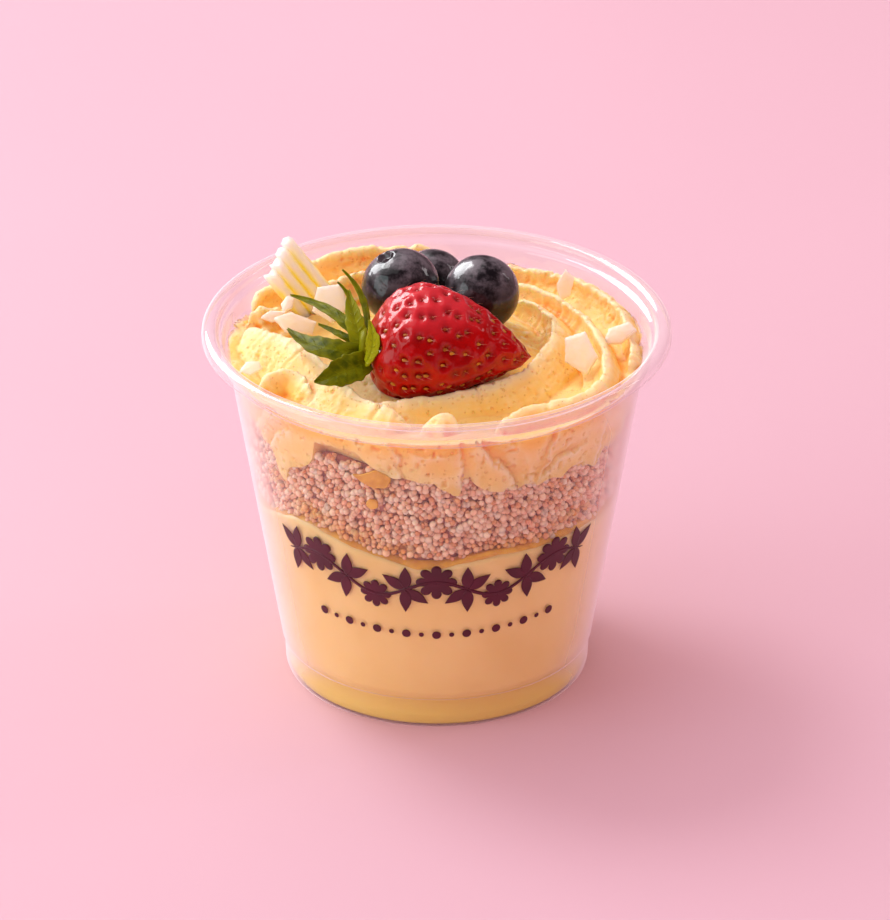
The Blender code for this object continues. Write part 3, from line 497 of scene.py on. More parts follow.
def wall_edge(angle):
    """Height of the cream's lower edge at the wall: listed in front, lobed behind."""
    degrees = degrees_between(angle, 0)
    by_hand = np.interp(degrees, [place[0] for place in FRONT_EDGE], [place[1] for place in FRONT_EDGE])
    front = (degrees > FRONT_EDGE[0][0]) & (degrees < FRONT_EDGE[-1][0])
    return np.where(front, by_hand, cream_edge(angle))


def crumb_rim(angle):
    """Height of the crumb's top at the wall, under the overhanging cream."""
    return np.minimum(wall_edge(angle), GAP_CRUMB_TOP + 0.5 * np.sin(17 * angle))


def crumb_level(angle, share):
    """Height of the level between the crumb and the cream."""
    blend = np.clip((share - 0.62) / 0.31, 0, 1)
    return CRUMB_TOP + (crumb_rim(angle) - CRUMB_TOP) * blend


def cream_top(angle, share):
    """Height of the cream between its ribbons."""
    mound = np.exp(-(share / 0.50) ** 4)
    bank = np.clip((share - 0.7) / 0.3, 0, 1)
    ripple = 0.5 * np.sin(7 * angle + 6 * share)
    return (CREAM_FLOOR + (CREAM_CENTRE - CREAM_FLOOR) * mound + (CREAM_WALL - CREAM_FLOOR) * bank
            + ripple * share)


# ---------------------------------------------------------------- materials

class Shader:
    """A material's node tree with short calls to add nodes and links."""

    def __init__(self, name):
        self.material = bpy.data.materials.new(name)
        self.material.use_nodes = True
        self.tree = self.material.node_tree
        self.surface = self.tree.nodes["Principled BSDF"]
        self.output = self.tree.nodes["Material Output"]

    def node(self, kind, inputs=None, **settings):
        made = self.tree.nodes.new("ShaderNode" + kind)
        for key, value in settings.items():
            setattr(made, key, value)
        for key, value in (inputs or {}).items():
            self.feed(made.inputs[key], value)
        return made

    def feed(self, socket, value):
        """Link a socket to another socket, or set its number or colour."""
        if isinstance(value, bpy.types.NodeSocket):
            self.tree.links.new(value, socket)
        elif isinstance(value, tuple) and len(value) == 3 and socket.type == "RGBA":
            socket.default_value = (*value, 1.0)
        else:
            socket.default_value = value

    def finish(self, **values):
        """The material, once the inputs of its Principled BSDF are set, with _ for a blank in their names."""
        for key, value in values.items():
            self.feed(self.surface.inputs[key.replace("_", " ")], value)
        return self.material

    def place(self):
        """Coordinates fixed to the object, in metres."""
        return self.node("TexCoord").outputs["Object"]

    def height(self):
        return self.node("SeparateXYZ", {"Vector": self.place()}).outputs["Z"]

    def tint(self, name):
        """The number that set_tint() stored under a name."""
        return self.node("Attribute", attribute_name=name).outputs["Fac"]

    def island(self):
        """A random number from 0 to 1 for each loose part of the mesh."""
        return self.node("NewGeometry").outputs["Random Per Island"]

    def noise(self, size, detail=3.0, roughness=0.5):
        """Noise from 0 to 1 whose lumps are about that many millimetres."""
        return self.node("TexNoise", {"Scale": 1.0 / (size * MM), "Detail": detail, "Roughness": roughness,
                                      "Vector": self.place()}).outputs["Fac"]

    def ramp(self, value, low, high, to_low=0.0, to_high=1.0):
        """Smooth step between two values."""
        return self.node("MapRange", {"Value": value, "From Min": low, "From Max": high, "To Min": to_low,
                                      "To Max": to_high}, interpolation_type="SMOOTHSTEP").outputs["Result"]

    def patches(self, size, detail=3.0, roughness=0.5, low=0.3, high=0.7):
        """Blotches of 0 and 1 with soft edges, about that many millimetres wide."""
        return self.ramp(self.noise(size, detail, roughness), low, high)

    def math(self, operation, first, second):
        return self.node("Math", {0: first, 1: second}, operation=operation).outputs[0]

    def times(self, value, factor):
        return self.math("MULTIPLY", value, factor)

    def mix(self, share, first, second):
        """Colour between two, each a socket or an sRGB colour from 0 to 255."""
        first, second = (linear(*each) if isinstance(each, tuple) else each for each in (first, second))
        return self.node("Mix", {0: share, 6: first, 7: second}, data_type="RGBA").outputs[2]

    def mix_shaders(self, share, first, second):
        return self.node("MixShader", {0: share, 1: first, 2: second}).outputs[0]

    def bump(self, height, distance, normal=None, strength=1.0):
        """Bump whose height of 1 stands for that many millimetres."""
        made = self.node("Bump", {"Height": height, "Distance": distance * MM, "Strength": strength})
        if normal is not None:
            self.feed(made.inputs["Normal"], normal)
        return made.outputs["Normal"]

    def pores(self, spacing, size, share):
        """1 inside small round pores, 0 elsewhere; share is the part of the cells that hold one."""
        cells = self.node("TexVoronoi", {"Scale": 1.0 / (spacing * MM), "Vector": self.place(),
                                         "Randomness": 1.0})
        chosen = self.node("SeparateColor", {"Color": cells.outputs["Color"]}).outputs[0]
        hole = self.ramp(cells.outputs["Distance"], size, size * 0.45)
        return self.times(hole, self.math("LESS_THAN", chosen, share))


def linear(red, green, blue):
    """Linear colour of an sRGB colour given from 0 to 255."""
    def one(value):
        value /= 255
        return value / 12.92 if value <= 0.04045 else ((value + 0.055) / 1.055) ** 2.4
    return one(red), one(green), one(blue)


def plastic_material():
    """Clear thin plastic: glossy, too thin to bend light, with a faint veil that thickens at its edges."""
    shader = Shader("clear_plastic")
    ripple = shader.bump(shader.noise(9.0, detail=1.0), 0.05)
    rim = shader.ramp(shader.height(), SHOULDER_HEIGHT * MM, (SHOULDER_HEIGHT + 1) * MM, 0.0, RIM_VEIL)
    facing = shader.node("LayerWeight", {"Blend": 0.5}).outputs["Facing"]
    share = shader.math("MAXIMUM", rim, shader.ramp(facing, 0.44, 0.96, VEIL, EDGE_VEIL))
    veil = shader.node("BsdfDiffuse", {"Color": (1.0, 0.93, 0.94)})
    veiled = shader.mix_shaders(share, shader.surface.outputs[0], veil.outputs[0])
    clear = shader.node("BsdfTransparent", {"Color": (0.985, 0.975, 0.975)})
    path = shader.node("LightPath").outputs
    passing = shader.math("MAXIMUM", path["Is Shadow Ray"], path["Is Diffuse Ray"])
    passing = shader.math("MAXIMUM", passing, shader.node("NewGeometry").outputs["Backfacing"])
    mixed = shader.mix_shaders(passing, veiled, clear.outputs[0])
    shader.feed(shader.output.inputs["Surface"], mixed)
    return shader.finish(
        Base_Color=(1.0, 0.985, 0.988), Roughness=0.03, IOR=1.0, Transmission_Weight=1.0, Coat_Weight=1.0,
        Coat_Roughness=0.04, Coat_IOR=1.55, Normal=ripple, Coat_Normal=ripple)


def mousse_material():
    """Smooth pale mousse with faint mottling and a few tiny air holes with painted shade in them, yellower in
    the foot.
    """
    shader = Shader("cheesecake_mousse")
    colour = shader.mix(shader.patches(14.0, low=0.35), (238, 208, 120), (243, 216, 132))
    foot = shader.ramp(shader.height(), (FOOT_HEIGHT + 0.3) * MM, (FOOT_HEIGHT - 0.3) * MM)
    colour = shader.mix(foot, colour, (234, 208, 98))
    holes = shader.pores(5.0, 0.10, 0.25)
    # painted shade: the air holes are tinted darker orange
    colour = shader.mix(shader.times(holes, 0.4), colour, (236, 180, 92))
    return shader.finish(
        Base_Color=colour, Roughness=0.42, Subsurface_Weight=0.35, Subsurface_Radius=(1.0, 0.6, 0.25),
        Subsurface_Scale=0.007, Specular_IOR_Level=0.3,
        Normal=shader.bump(holes, -0.08, shader.bump(shader.noise(3.0), 0.03)))


def sauce_material():
    """Glossy mango sauce."""
    shader = Shader("mango_sauce")
    return shader.finish(
        Base_Color=shader.mix(shader.patches(2.5), (206, 150, 20), (228, 178, 40)), Roughness=0.20,
        Subsurface_Weight=0.3, Subsurface_Radius=(1.0, 0.5, 0.15), Subsurface_Scale=0.002,
        Normal=shader.bump(shader.noise(1.6), 0.08))


def crumb_material(name, pale, dark):
    """Moist translucent sponge beads, each of its own tone, amber where sauce has soaked in."""
    shader = Shader(name)
    tone = shader.math("ADD", shader.times(shader.island(), 0.6), shader.times(shader.patches(5.0, 2.0), 0.4))
    colour = shader.mix(shader.tint("wet"), shader.mix(tone, dark, pale), (226, 164, 52))
    return shader.finish(
        Base_Color=colour, Roughness=0.26, Subsurface_Weight=0.6, Subsurface_Radius=(1.0, 0.6, 0.5),
        Subsurface_Scale=0.0018, Normal=shader.bump(shader.noise(0.35, 2.0), 0.04))


def cream_material():
    """Mango cream: painted light makes it pale on its lips and ridges, and painted shade makes it deep orange
    in its hollows, crevices and pores and on its steep faces, with fine air bubbles.
    """
    shader = Shader("mango_cream")
    colour = shader.mix(shader.patches(9.0, low=0.32, high=0.68), (251, 213, 116), (253, 222, 138))
    # painted shade: steep faces are tinted deeper orange, as where less light falls
    colour = shader.mix(shader.tint("steep_shade"), colour, (253, 204, 84))
    # painted light: lips and ridges are tinted paler, as where light passes through thin cream
    colour = shader.mix(shader.tint("lip"), colour, (255, 237, 190))
    # painted shade: hollows and crevices are tinted deep orange
    colour = shader.mix(shader.tint("fold"), colour, (244, 168, 52))
    holes = shader.math("MAXIMUM", shader.pores(0.80, 0.30, 0.34), shader.pores(2.2, 0.20, 0.45))
    # painted shade: the pores are tinted darker orange, besides being pressed in by the bump
    colour = shader.mix(shader.times(holes, 0.35), colour, (240, 164, 62))
    grain = shader.bump(shader.noise(0.9, 4.0, 0.6), 0.16)
    torn = shader.bump(shader.noise(1.4, 4.0, 0.65), 0.7, grain, strength=shader.tint("rough"))
    return shader.finish(
        Base_Color=colour, Roughness=0.5, Subsurface_Weight=0.55, Subsurface_Radius=(1.0, 0.5, 0.2),
        Subsurface_Scale=0.0055, Specular_IOR_Level=0.25, Normal=shader.bump(holes, -0.22, torn))


def strawberry_material():
    """Glazed red skin, painted paler on its crest, partly paler skin and partly painted highlight, and with
    painted shade in its pits.
    """
    shader = Shader("strawberry_red")
    colour = shader.mix(shader.patches(5.0, 4.0, 0.6), (150, 0, 0), (180, 0, 2))
    # paler crest at the top left: partly paler skin, partly painted highlight
    colour = shader.mix(shader.times(shader.tint("crest"), 0.5), colour, (226, 66, 78))
    colour = shader.mix(shader.times(shader.tint("stalk"), 0.35), colour, (206, 44, 38))
    # painted shade: the pits round the seeds are tinted darker red
    colour = shader.mix(shader.times(shader.tint("pit"), 0.6), colour, (112, 0, 2))
    skin = shader.bump(shader.noise(1.3), 0.12)
    return shader.finish(
        Base_Color=colour, Roughness=0.30, Subsurface_Weight=0.10, Subsurface_Radius=(1.0, 0.1, 0.05),
        Subsurface_Scale=0.002, Specular_IOR_Level=0.05, Coat_Weight=0.55, Coat_Roughness=0.05, Normal=skin,
        Coat_Normal=shader.bump(shader.noise(2.4, 2.0), 0.30, skin))


def seed_material():
    """Golden seeds, reddish along the crest."""
    shader = Shader("strawberry_seed")
    colour = shader.mix(shader.island(), (150, 84, 8), (206, 144, 36))
    return shader.finish(Base_Color=shader.mix(shader.tint("crest"), colour, (150, 16, 14)), Roughness=0.28,
                         Normal=shader.bump(shader.noise(0.4), 0.03))


def hair_material():
    """Fine dry hairs that stand on the seeds."""
    shader = Shader("strawberry_hair")
    return shader.finish(Base_Color=shader.mix(shader.patches(3.0), (228, 150, 110), (250, 214, 176)),
                         Roughness=0.4, Normal=shader.bump(shader.noise(0.4), 0.01))


def leaf_material():
    """Fresh sepal: deep green between pale veins, with painted light in yellow green on the ones that stand in
    the light.
    """
    shader = Shader("leaf_green")
    vein = shader.tint("vein")
    colour = shader.mix(shader.patches(2.2), (56, 70, 0), (104, 112, 0))
    # painted light: yellow green on the leaves that stand in the light
    colour = shader.mix(shader.tint("light"), colour, (150, 158, 10))
    colour = shader.mix(shader.times(shader.tint("edge"), 0.5), colour, (128, 126, 4))
    colour = shader.mix(shader.times(vein, 0.45), colour, (126, 136, 4))
    return shader.finish(
        Base_Color=colour, Roughness=0.42, Subsurface_Weight=0.1, Subsurface_Radius=(0.5, 1.0, 0.02),
        Subsurface_Scale=0.001, Specular_IOR_Level=0.05,
        Normal=shader.bump(vein, 0.16, shader.bump(shader.noise(0.8), 0.08)))


def berry_material():
    """Blue black skin, purple below, with streaked pale grey that grows towards the top and a wrinkled wet
    glaze.
    """
    shader = Shader("berry_blue")
    crest = shader.tint("crest")
    upper_grey = shader.times(shader.patches(4.2, 5.0, 0.65, 0.36, 0.64), shader.ramp(crest, 0.40, 1.15, 0.0, 0.7))
    colour = shader.mix(upper_grey, shader.mix(crest, (30, 2, 5), (14, 9, 16)), (132, 128, 136))
    colour = shader.mix(shader.times(shader.tint("crown"), 0.5), colour, (36, 22, 26))
    return shader.finish(
        Base_Color=colour, Roughness=0.36, Coat_Weight=0.7, Coat_Roughness=0.05, Specular_IOR_Level=0.15,
        Normal=shader.bump(shader.noise(2.2), 0.10), Coat_Normal=shader.bump(shader.noise(4.6, 2.0), 0.55))


def chocolate_material():
    """White chocolate, with painted shade in yellow in the grooves; the flakes take a fixed share of the same
    yellow as their own tone.
    """
    shader = Shader("white_chocolate")
    colour = shader.mix(shader.patches(3.0), (255, 246, 208), (255, 250, 226))
    return shader.finish(
        # painted shade: the groove tint turns the fan's grooves yellow
        Base_Color=shader.mix(shader.tint("groove"), colour, (255, 228, 112)), Roughness=0.42,
        Subsurface_Weight=1.0, Subsurface_Radius=(1.0, 0.9, 0.6), Subsurface_Scale=0.009,
        Specular_IOR_Level=0.3, Normal=shader.bump(shader.noise(0.8), 0.07))


def print_material():
    """Plum ink on the outside of the cup."""
    shader = Shader("plum_ink")
    return shader.finish(Base_Color=shader.mix(shader.patches(5.0, 2.0), (72, 0, 26), (84, 1, 34)),
                         Roughness=0.4, Normal=shader.bump(shader.noise(0.6), 0.01))


def floor_material():
    """Plain pale pink paper."""
    shader = Shader("pale_pink_floor")
    return shader.finish(Base_Color=shader.mix(shader.patches(180.0, 2.0), (216, 182, 197), (218, 184, 199)),
                         Roughness=0.7, Specular_IOR_Level=0.2, Normal=shader.bump(shader.noise(0.5), 0.01))


# ---------------------------------------------------------------- cup

def arc(centre_radius, centre_height, radius, start, end, count):
    """Points (radius, height) on an arc between two angles in degrees."""
    steps = np.radians(np.linspace(start, end, count))
    return [(centre_radius + radius * math.cos(a), centre_height + radius * math.sin(a)) for a in steps]


def cup_profile():
    """Outline of the wall from the underside's centre, up the outside, over the curl and down the inside."""
    neck = SHOULDER_RADIUS + NECK_STEP
    curl_bottom = CUP_HEIGHT - CURL_DROP
    curl_centre = (neck + 0.7 + RIM_RADIUS) / 2
    curl_radius = RIM_RADIUS - curl_centre
    curl_height = CUP_HEIGHT - curl_radius
    outside = [
        (0, FOOT_RECESS), (FOOT_RADIUS - 3.6, FOOT_RECESS), (FOOT_RADIUS - 3.0, FOOT_RECESS - 0.4),
        (FOOT_RADIUS - 2.5, 0.2), (FOOT_RADIUS - 2.2, 0.0), (FOOT_RADIUS - 1.0, 0.0),
        (FOOT_RADIUS - 0.6, 0.2), (FOOT_RADIUS - 0.35, 1.0), (FOOT_RADIUS - 0.25, 3.0),
        (FOOT_RADIUS - 0.15, FOOT_HEIGHT - 0.35), (FOOT_RADIUS - 0.05, FOOT_HEIGHT - 0.12),
        (LEDGE_RADIUS - 0.1, FOOT_HEIGHT), (LEDGE_RADIUS, FOOT_HEIGHT + 0.3)]
    for step in range(1, 10):
        share = step / 9
        outside.append((LEDGE_RADIUS + (SHOULDER_RADIUS - LEDGE_RADIUS) * share,
                        WALL_START + (SHOULDER_HEIGHT - WALL_START) * share))
    outside += [(SHOULDER_RADIUS + 0.12, SHOULDER_HEIGHT + 0.22), (neck - 0.35, SHOULDER_HEIGHT + 0.5),
                (neck - 0.08, SHOULDER_HEIGHT + 0.7), (neck, SHOULDER_HEIGHT + 1.1),
                (neck + 0.25, curl_bottom - 1.0), (neck + 0.5, curl_bottom + 0.3)]
    under = arc(curl_centre, curl_height, curl_radius - WALL, 165, 0, 9)
    lip = [(RIM_RADIUS - WALL, curl_bottom + 0.15), (RIM_RADIUS - WALL + 0.1, curl_bottom),
           (RIM_RADIUS - 0.12, curl_bottom), (RIM_RADIUS, curl_bottom + 0.2)]
    over = arc(curl_centre, curl_height, curl_radius, 0, 180, 15)
    inside = [
        (neck + 0.35, curl_height - 0.9), (neck - 0.1, curl_bottom), (neck - 0.35, curl_bottom - 1.2),
        (neck - 0.62, SHOULDER_HEIGHT + 1.4), (neck - 0.75, SHOULDER_HEIGHT + 1.0),
        (inner_radius(SHOULDER_HEIGHT) + 0.15, SHOULDER_HEIGHT + 0.45)]
    for step in range(9, -1, -1):
        height = WALL_START + (SHOULDER_HEIGHT - WALL_START) * step / 9
        inside.append((inner_radius(height), height))
    inside += foot_hollow(0.0)
    return outside + under + lip + over + inside


def foot_hollow(into):
    """Inside of the foot from its ledge to the axis, with the ring round the raised floor."""
    wall = FOOT_RADIUS - WALL + into
    return [(wall - 0.1, FOOT_HEIGHT - 0.15), (wall - 0.25, 3.0), (wall - 0.4, 1.1), (wall - 0.8, 0.6 - into),
            (wall - 1.8, 0.6 - into), (wall - 2.2, 0.8), (wall - 2.7, FLOOR_TOP - 0.3 - into),
            (wall - 3.4, FLOOR_TOP - into), (0, FLOOR_TOP - into)]


def build_cup():
    add_piece("cup_shell", turned(cup_profile(), CUP_SIDES), plastic_material(), "clear_plastic", "cup")


def printed(points, lift):
    """Flat print (across, height) wrapped round the outside of the wall."""
    points = np.asarray(points, float)
    radius = inner_radius(points[:, 1]) + WALL + lift
    angle = -math.pi / 2 + points[:, 0] / (inner_radius(PRINT_HEIGHT) + WALL)
    return np.stack([radius * np.cos(angle), radius * np.sin(angle), points[:, 1]], 1)


def ink_patch(outline, centre):
    """Thin inked skin inside a star-shaped outline, as (points, faces)."""
    outline = np.asarray(outline, float)
    centre = np.asarray([centre], float)
    rings = [centre + (outline - centre) * share for share in (0.2, 0.4, 0.6, 0.8, 1.0)]
    points = np.concatenate([printed(np.concatenate([centre] + rings), INK_LOW),
                             printed(np.concatenate(rings[::-1] + [centre]), INK_HIGH)])
    return points, capped_faces(2 * len(rings), len(outline))


def ink_band(path, half_width):
    """Thin inked line along a path of (across, height), as (points, faces)."""
    path = np.asarray(path, float)
    along = np.gradient(path, axis=0)
    along /= np.linalg.norm(along, axis=1)[:, None]
    beside = np.stack([-along[:, 1], along[:, 0]], 1)
    taper = half_width * np.sqrt(np.clip(np.sin(np.linspace(0.02, math.pi - 0.02, len(path))) * 3, 0, 1))
    right = path - beside * taper[:, None]
    left = path + beside * taper[:, None]
    count = len(path)
    points = np.concatenate([printed(right, INK_LOW), printed(left, INK_LOW),
                             printed(right, INK_HIGH), printed(left, INK_HIGH)])
    faces = []
    for step in range(count - 1):
        a, b = step, count + step
        c, d = 2 * count + step, 3 * count + step
        faces += [(a, b, b + 1, a + 1), (c, c + 1, d + 1, d), (a, a + 1, c + 1, c), (b, d, d + 1, b + 1)]
    last = count - 1
    faces += [(0, 2 * count, 3 * count, count), (last, count + last, 3 * count + last, 2 * count + last)]
    return points, faces


def blossom(centre, size):
    """Outline of a flower with eight rounded petals."""
    angles = np.arange(96) * math.tau / 96
    reach = size * (0.62 + 0.38 * np.abs(np.cos(4 * angles)) ** 0.6)
    return np.stack([centre[0] + reach * np.cos(angles), centre[1] + reach * np.sin(angles)], 1)


def pointed_leaf(root, turn, length, width):
    """Outline of a pointed leaf that grows from its root, and its middle."""
    share = np.linspace(0, 1, 20)
    half = 0.5 * width * np.sin(math.pi * share ** 0.8)
    upper = np.stack([share * length, half], 1)
    lower = np.stack([share * length, -half], 1)[-2:0:-1]
    outline = np.concatenate([upper, lower])
    turned_by = np.array([[math.cos(turn), -math.sin(turn)], [math.sin(turn), math.cos(turn)]])
    root = np.asarray(root, float)
    return outline @ turned_by.T + root, np.array([0.5 * length, 0.0]) @ turned_by.T + root


def garland_height(across):
    """Height of the garland's stem, a gentle arc with waves."""
    waves = 2.2 * np.cos(math.tau * np.asarray(across) / GARLAND_WAVE)
    return PRINT_HEIGHT + 0.0036 * np.square(across) + waves


def build_print():
    """Generic garland in plum ink: blossoms and leaf pairs on a wavy stem above a row of dots."""
    across = np.linspace(-GARLAND_REACH, GARLAND_REACH, 260)
    parts = [ink_band(np.stack([across, garland_height(across)], 1), 0.38)]
    for step in range(-2, 3):
        centre = (step * GARLAND_WAVE / 2, garland_height(step * GARLAND_WAVE / 2))
        parts.append(ink_patch(blossom(centre, BLOSSOM_SIZES[step % 2]), centre))
    for step in range(-3, 3):
        root = (step + 0.5) * GARLAND_WAVE / 2
        slope = (garland_height(root + 0.1) - garland_height(root - 0.1)) / 0.2
        for lean in LEAF_LEANS:
            turn = math.atan(slope) + math.radians(lean)
            parts.append(ink_patch(*pointed_leaf((root, garland_height(root)), turn, *GARLAND_LEAF)))
    for step in range(-8, 9):
        centre = (step * DOT_SPACING, DOT_HEIGHT + 0.055 * abs(step) ** 1.6)
        size = DOT_SIZES[step % 2]
        outline = [(centre[0] + size * math.cos(a), centre[1] + size * math.sin(a)) for a in even_angles(20)]
        parts.append(ink_patch(outline, centre))
    add_piece("plum_garland", merge_meshes(parts), print_material(), "clear_plastic")


# ---------------------------------------------------------------- fillings

def build_mousse():
    """Mousse from the cup's floor to its wavy top, just into the wall."""
    sides = 240
    angles = even_angles(sides)
    rows = foot_hollow(INTO_WALL)[::-1]
    rows.append((inner_radius(WALL_START) + INTO_WALL, WALL_START))
    ring = round_axis(40, angles, 0)
    crest = layer_height(MOUSSE_TOP, angles, 1.0)
    crest = crest + 0.25 + 0.30 * value_noise(ring, 5.0, 3) + 0.20 * value_noise(ring, 2.2, 4)
    for step in range(1, 25):
        height = WALL_START + (crest - WALL_START) * step / 24
        rows.append((inner_radius(height) + INTO_WALL, height))
    rows += level_rows((0.985, 0.93, 0.8, 0.6, 0.35), lambda share: layer_height(MOUSSE_TOP, angles, share))
    rows.append((0, MOUSSE_TOP))
    add_piece("mousse_fill", turned(rows, sides), mousse_material(), "cheesecake_mousse", "cheesecake_mousse")


def build_sauce(material):
    """Thin sauce between mousse and crumb, of uneven thickness at the wall."""
    sides = 240
    angles = even_angles(sides)
    ring = round_axis(40, angles, 0)
    low = layer_height(MOUSSE_TOP, angles, 1.0) - 0.35
    thick = 0.25 * value_noise(ring, 7.0, 7) + 0.20 * value_noise(ring, 1.8, 8) + 0.9 * sauce_pool(angles)
    high = low + 0.60 + np.clip(thick, 0.02, 4.0)
    rows = [(0, MOUSSE_TOP - 0.4)]
    for share in (0.5, 0.85, 0.97):
        rows.append((inner_radius(MOUSSE_TOP) * share, layer_height(MOUSSE_TOP, angles, share) - 0.4))
    for height, into in ((low, 0.6), ((low + high) / 2, 0.6), (high, 0.5)):
        rows.append((inner_radius(height) + INTO_WALL * into, height))
    rows += level_rows((0.97, 0.85, 0.5), lambda share: layer_height(SAUCE_TOP, angles, share))
    rows.append((0, SAUCE_TOP))
    add_piece("sauce_layer", turned(rows, sides), material, "mango_sauce", "mango_sauce")


def build_sauce_drop(number, material, centre_degrees, height, half_width, half_height, tail):
    """Rounded drop of sauce pressed against the inside of the wall, with a tail to its left."""
    rings = 14
    sides = 60
    centre = math.radians(centre_degrees)
    around = even_angles(sides)
    wave = 1 + 0.07 * np.sin(2 * around + 1.0) + 0.05 * np.sin(5 * around + centre_degrees)
    trail = tail * np.clip(-np.cos(around - 0.35), 0, 1) ** 10
    wide = half_width * wave * np.cos(around) - trail
    high = half_height * wave * np.sin(around) + 0.35 * trail
    back = []
    front = []
    for share in np.arange(1, rings + 1) / rings:
        z = height + high * share
        wall = inner_radius(z)
        angle = centre + wide * share / wall
        depth = 0.1 if share == 1 else 0.25 + 1.3 * math.sqrt(1 - share * share)
        back.append(round_axis(wall - depth, angle, z))
        front.append(round_axis(wall - 0.1 if share == 1 else wall + INTO_WALL + 0.05, angle, z))
    wall = inner_radius(height)
    points = ([round_axis(wall - 1.55, centre, height)] + back + front[::-1]
              + [round_axis(wall + INTO_WALL + 0.05, centre, height)])
    shape = np.concatenate(points), capped_faces(2 * rings, sides)
    add_piece(f"sauce_drop_{number}", shape, material, "mango_sauce")


def build_crumb_core():
    """Body of the crumb behind its grains, in darker tones that are painted shade for the gaps between them."""
    sides = 180
    angles = even_angles(sides)
    rows = [(0, SAUCE_TOP)]
    rows += level_rows((0.5, 0.8, 0.94), lambda share: layer_height(SAUCE_TOP, angles, share))
    bottom = layer_height(SAUCE_TOP, angles, 1.0)
    top = crumb_rim(angles)
    for step in range(13):
        height = bottom + (top - bottom) * step / 12
        radius = inner_radius(height) - CRUMB_CORE_DEPTH
        rows.append((radius + 0.5 * value_noise(round_axis(radius, angles, height), 1.6, 11), height))
    for share in (0.9, 0.75, 0.5):
        height = crumb_level(angles, share)
        rows.append((inner_radius(height) * share - CRUMB_CORE_DEPTH * share, height))
    rows.append((0, CRUMB_TOP))
    shape = turned(rows, sides)
    add_piece("crumb_core", shape, crumb_material("crumb_core", *CRUMB_CORE_SHADE_TONES), "sponge_crumb",
              "sponge_crumb", wet=soaked(shape[0]))


def soaked(points):
    """How far sauce has soaked into the crumb at each point."""
    angle = np.arctan2(points[:, 1], points[:, 0])
    wet = np.zeros(len(points))
    for centre, height, wide, high in WET_CRUMB:
        away = (degrees_between(angle, centre) / wide) ** 2 + ((points[:, 2] - height) / high) ** 2
        wet = np.maximum(wet, 0.9 * np.exp(-away))
    return wet


def grain_places(draw, pitch, depth):
    """Random places on the crumb's side: angle, height and depth behind the wall."""
    low = MOUSSE_TOP + 0.2
    high = CREAM_EDGE_LIMIT + 1.0
    places = []
    for row in range(int((high - low) / (pitch * 0.87))):
        height = low + (row + 0.5) * pitch * 0.87
        count = int(math.tau * inner_radius(height) / pitch)
        angle = (np.arange(count) + 0.5 * (row % 2) + draw.uniform(-0.38, 0.38, count)) * math.tau / count
        jitter = height + draw.uniform(-0.42, 0.42, count) * pitch
        places.append(np.stack([angle, jitter, np.full(count, depth) + draw.uniform(0, 0.45, count)], 1))
    places = np.concatenate(places)
    angle, height = places[:, 0], places[:, 1]
    bottom = layer_height(MOUSSE_TOP + 0.55, angle, 1.0) + 0.6 * sauce_pool(angle)
    return places[(height > bottom) & (height < crumb_rim(angle) + 0.3)]


def build_crumb_grains():
    """Beads of the sponge against the wall, in three kinds of size and tone, clumped with dark gaps."""
    draw = np.random.default_rng(5)
    places = np.concatenate([grain_places(draw, CRUMB_PITCH, 0.20),
                             grain_places(draw, CRUMB_PITCH * 1.10, 1.10)])
    flat = np.column_stack([places[:, 0] * 38, places[:, 1], places[:, 2] * 0])
    clump = value_noise(flat, 2.6, 23) + 0.6 * value_noise(flat, 1.3, 24)
    places[:, 2] += 0.75 * np.clip(0.15 - clump, 0, 1)
    kind_draw = draw.uniform(size=len(places))
    start = 0.0
    for name, end, (small, large), pale, dark in GRAIN_KINDS:
        chosen = places[(kind_draw >= start) & (kind_draw < end)]
        start = end
        size = draw.uniform(small, large, len(chosen))
        radius = inner_radius(chosen[:, 1]) - chosen[:, 2] - size * 0.75
        centres = round_axis(radius, chosen[:, 0], chosen[:, 1])
        stretch = size[:, None] * draw.uniform(0.88, 1.12, (len(chosen), 3))
        points, faces = scatter(sphere_mesh(1), centres, stretch, random_turns(len(chosen), draw))
        which = np.repeat(centres, len(points) // len(centres), axis=0)
        points = which + (points - which) * (1 + 0.09 * value_noise(points, 0.7, 21))[:, None]
        wall = inner_radius(points[:, 2]) + INTO_WALL * 0.5
        points[:, :2] *= np.minimum(1.0, wall / np.hypot(points[:, 0], points[:, 1]))[:, None]
        add_piece(name, (points, faces), crumb_material(name, pale, dark), "sponge_crumb", wet=soaked(which))


# ---------------------------------------------------------------- cream

def smooth_path(stations, step):
    """Points at an even step along a Catmull-Rom curve through the stations."""
    stations = [Vector(station) for station in stations]
    padded = [2 * stations[0] - stations[1]] + stations + [2 * stations[-1] - stations[-2]]
    dense = []
    for index in range(len(stations) - 1):
        a, b, c, d = padded[index:index + 4]
        for fine in range(20):
            t = fine / 20
            dense.append(0.5 * (2 * b + (c - a) * t + (2 * a - 5 * b + 4 * c - d) * t ** 2
                                + (3 * b - a - 3 * c + d) * t ** 3))
    dense.append(stations[-1])
    dense = np.array([tuple(point) for point in dense])
    travelled = np.concatenate([[0], np.cumsum(np.linalg.norm(np.diff(dense, axis=0), axis=1))])
    count = max(3, round(travelled[-1] / step))
    wanted = np.linspace(0, travelled[-1], count + 1)
    return np.stack([np.interp(wanted, travelled, dense[:, axis]) for axis in range(3)], 1)


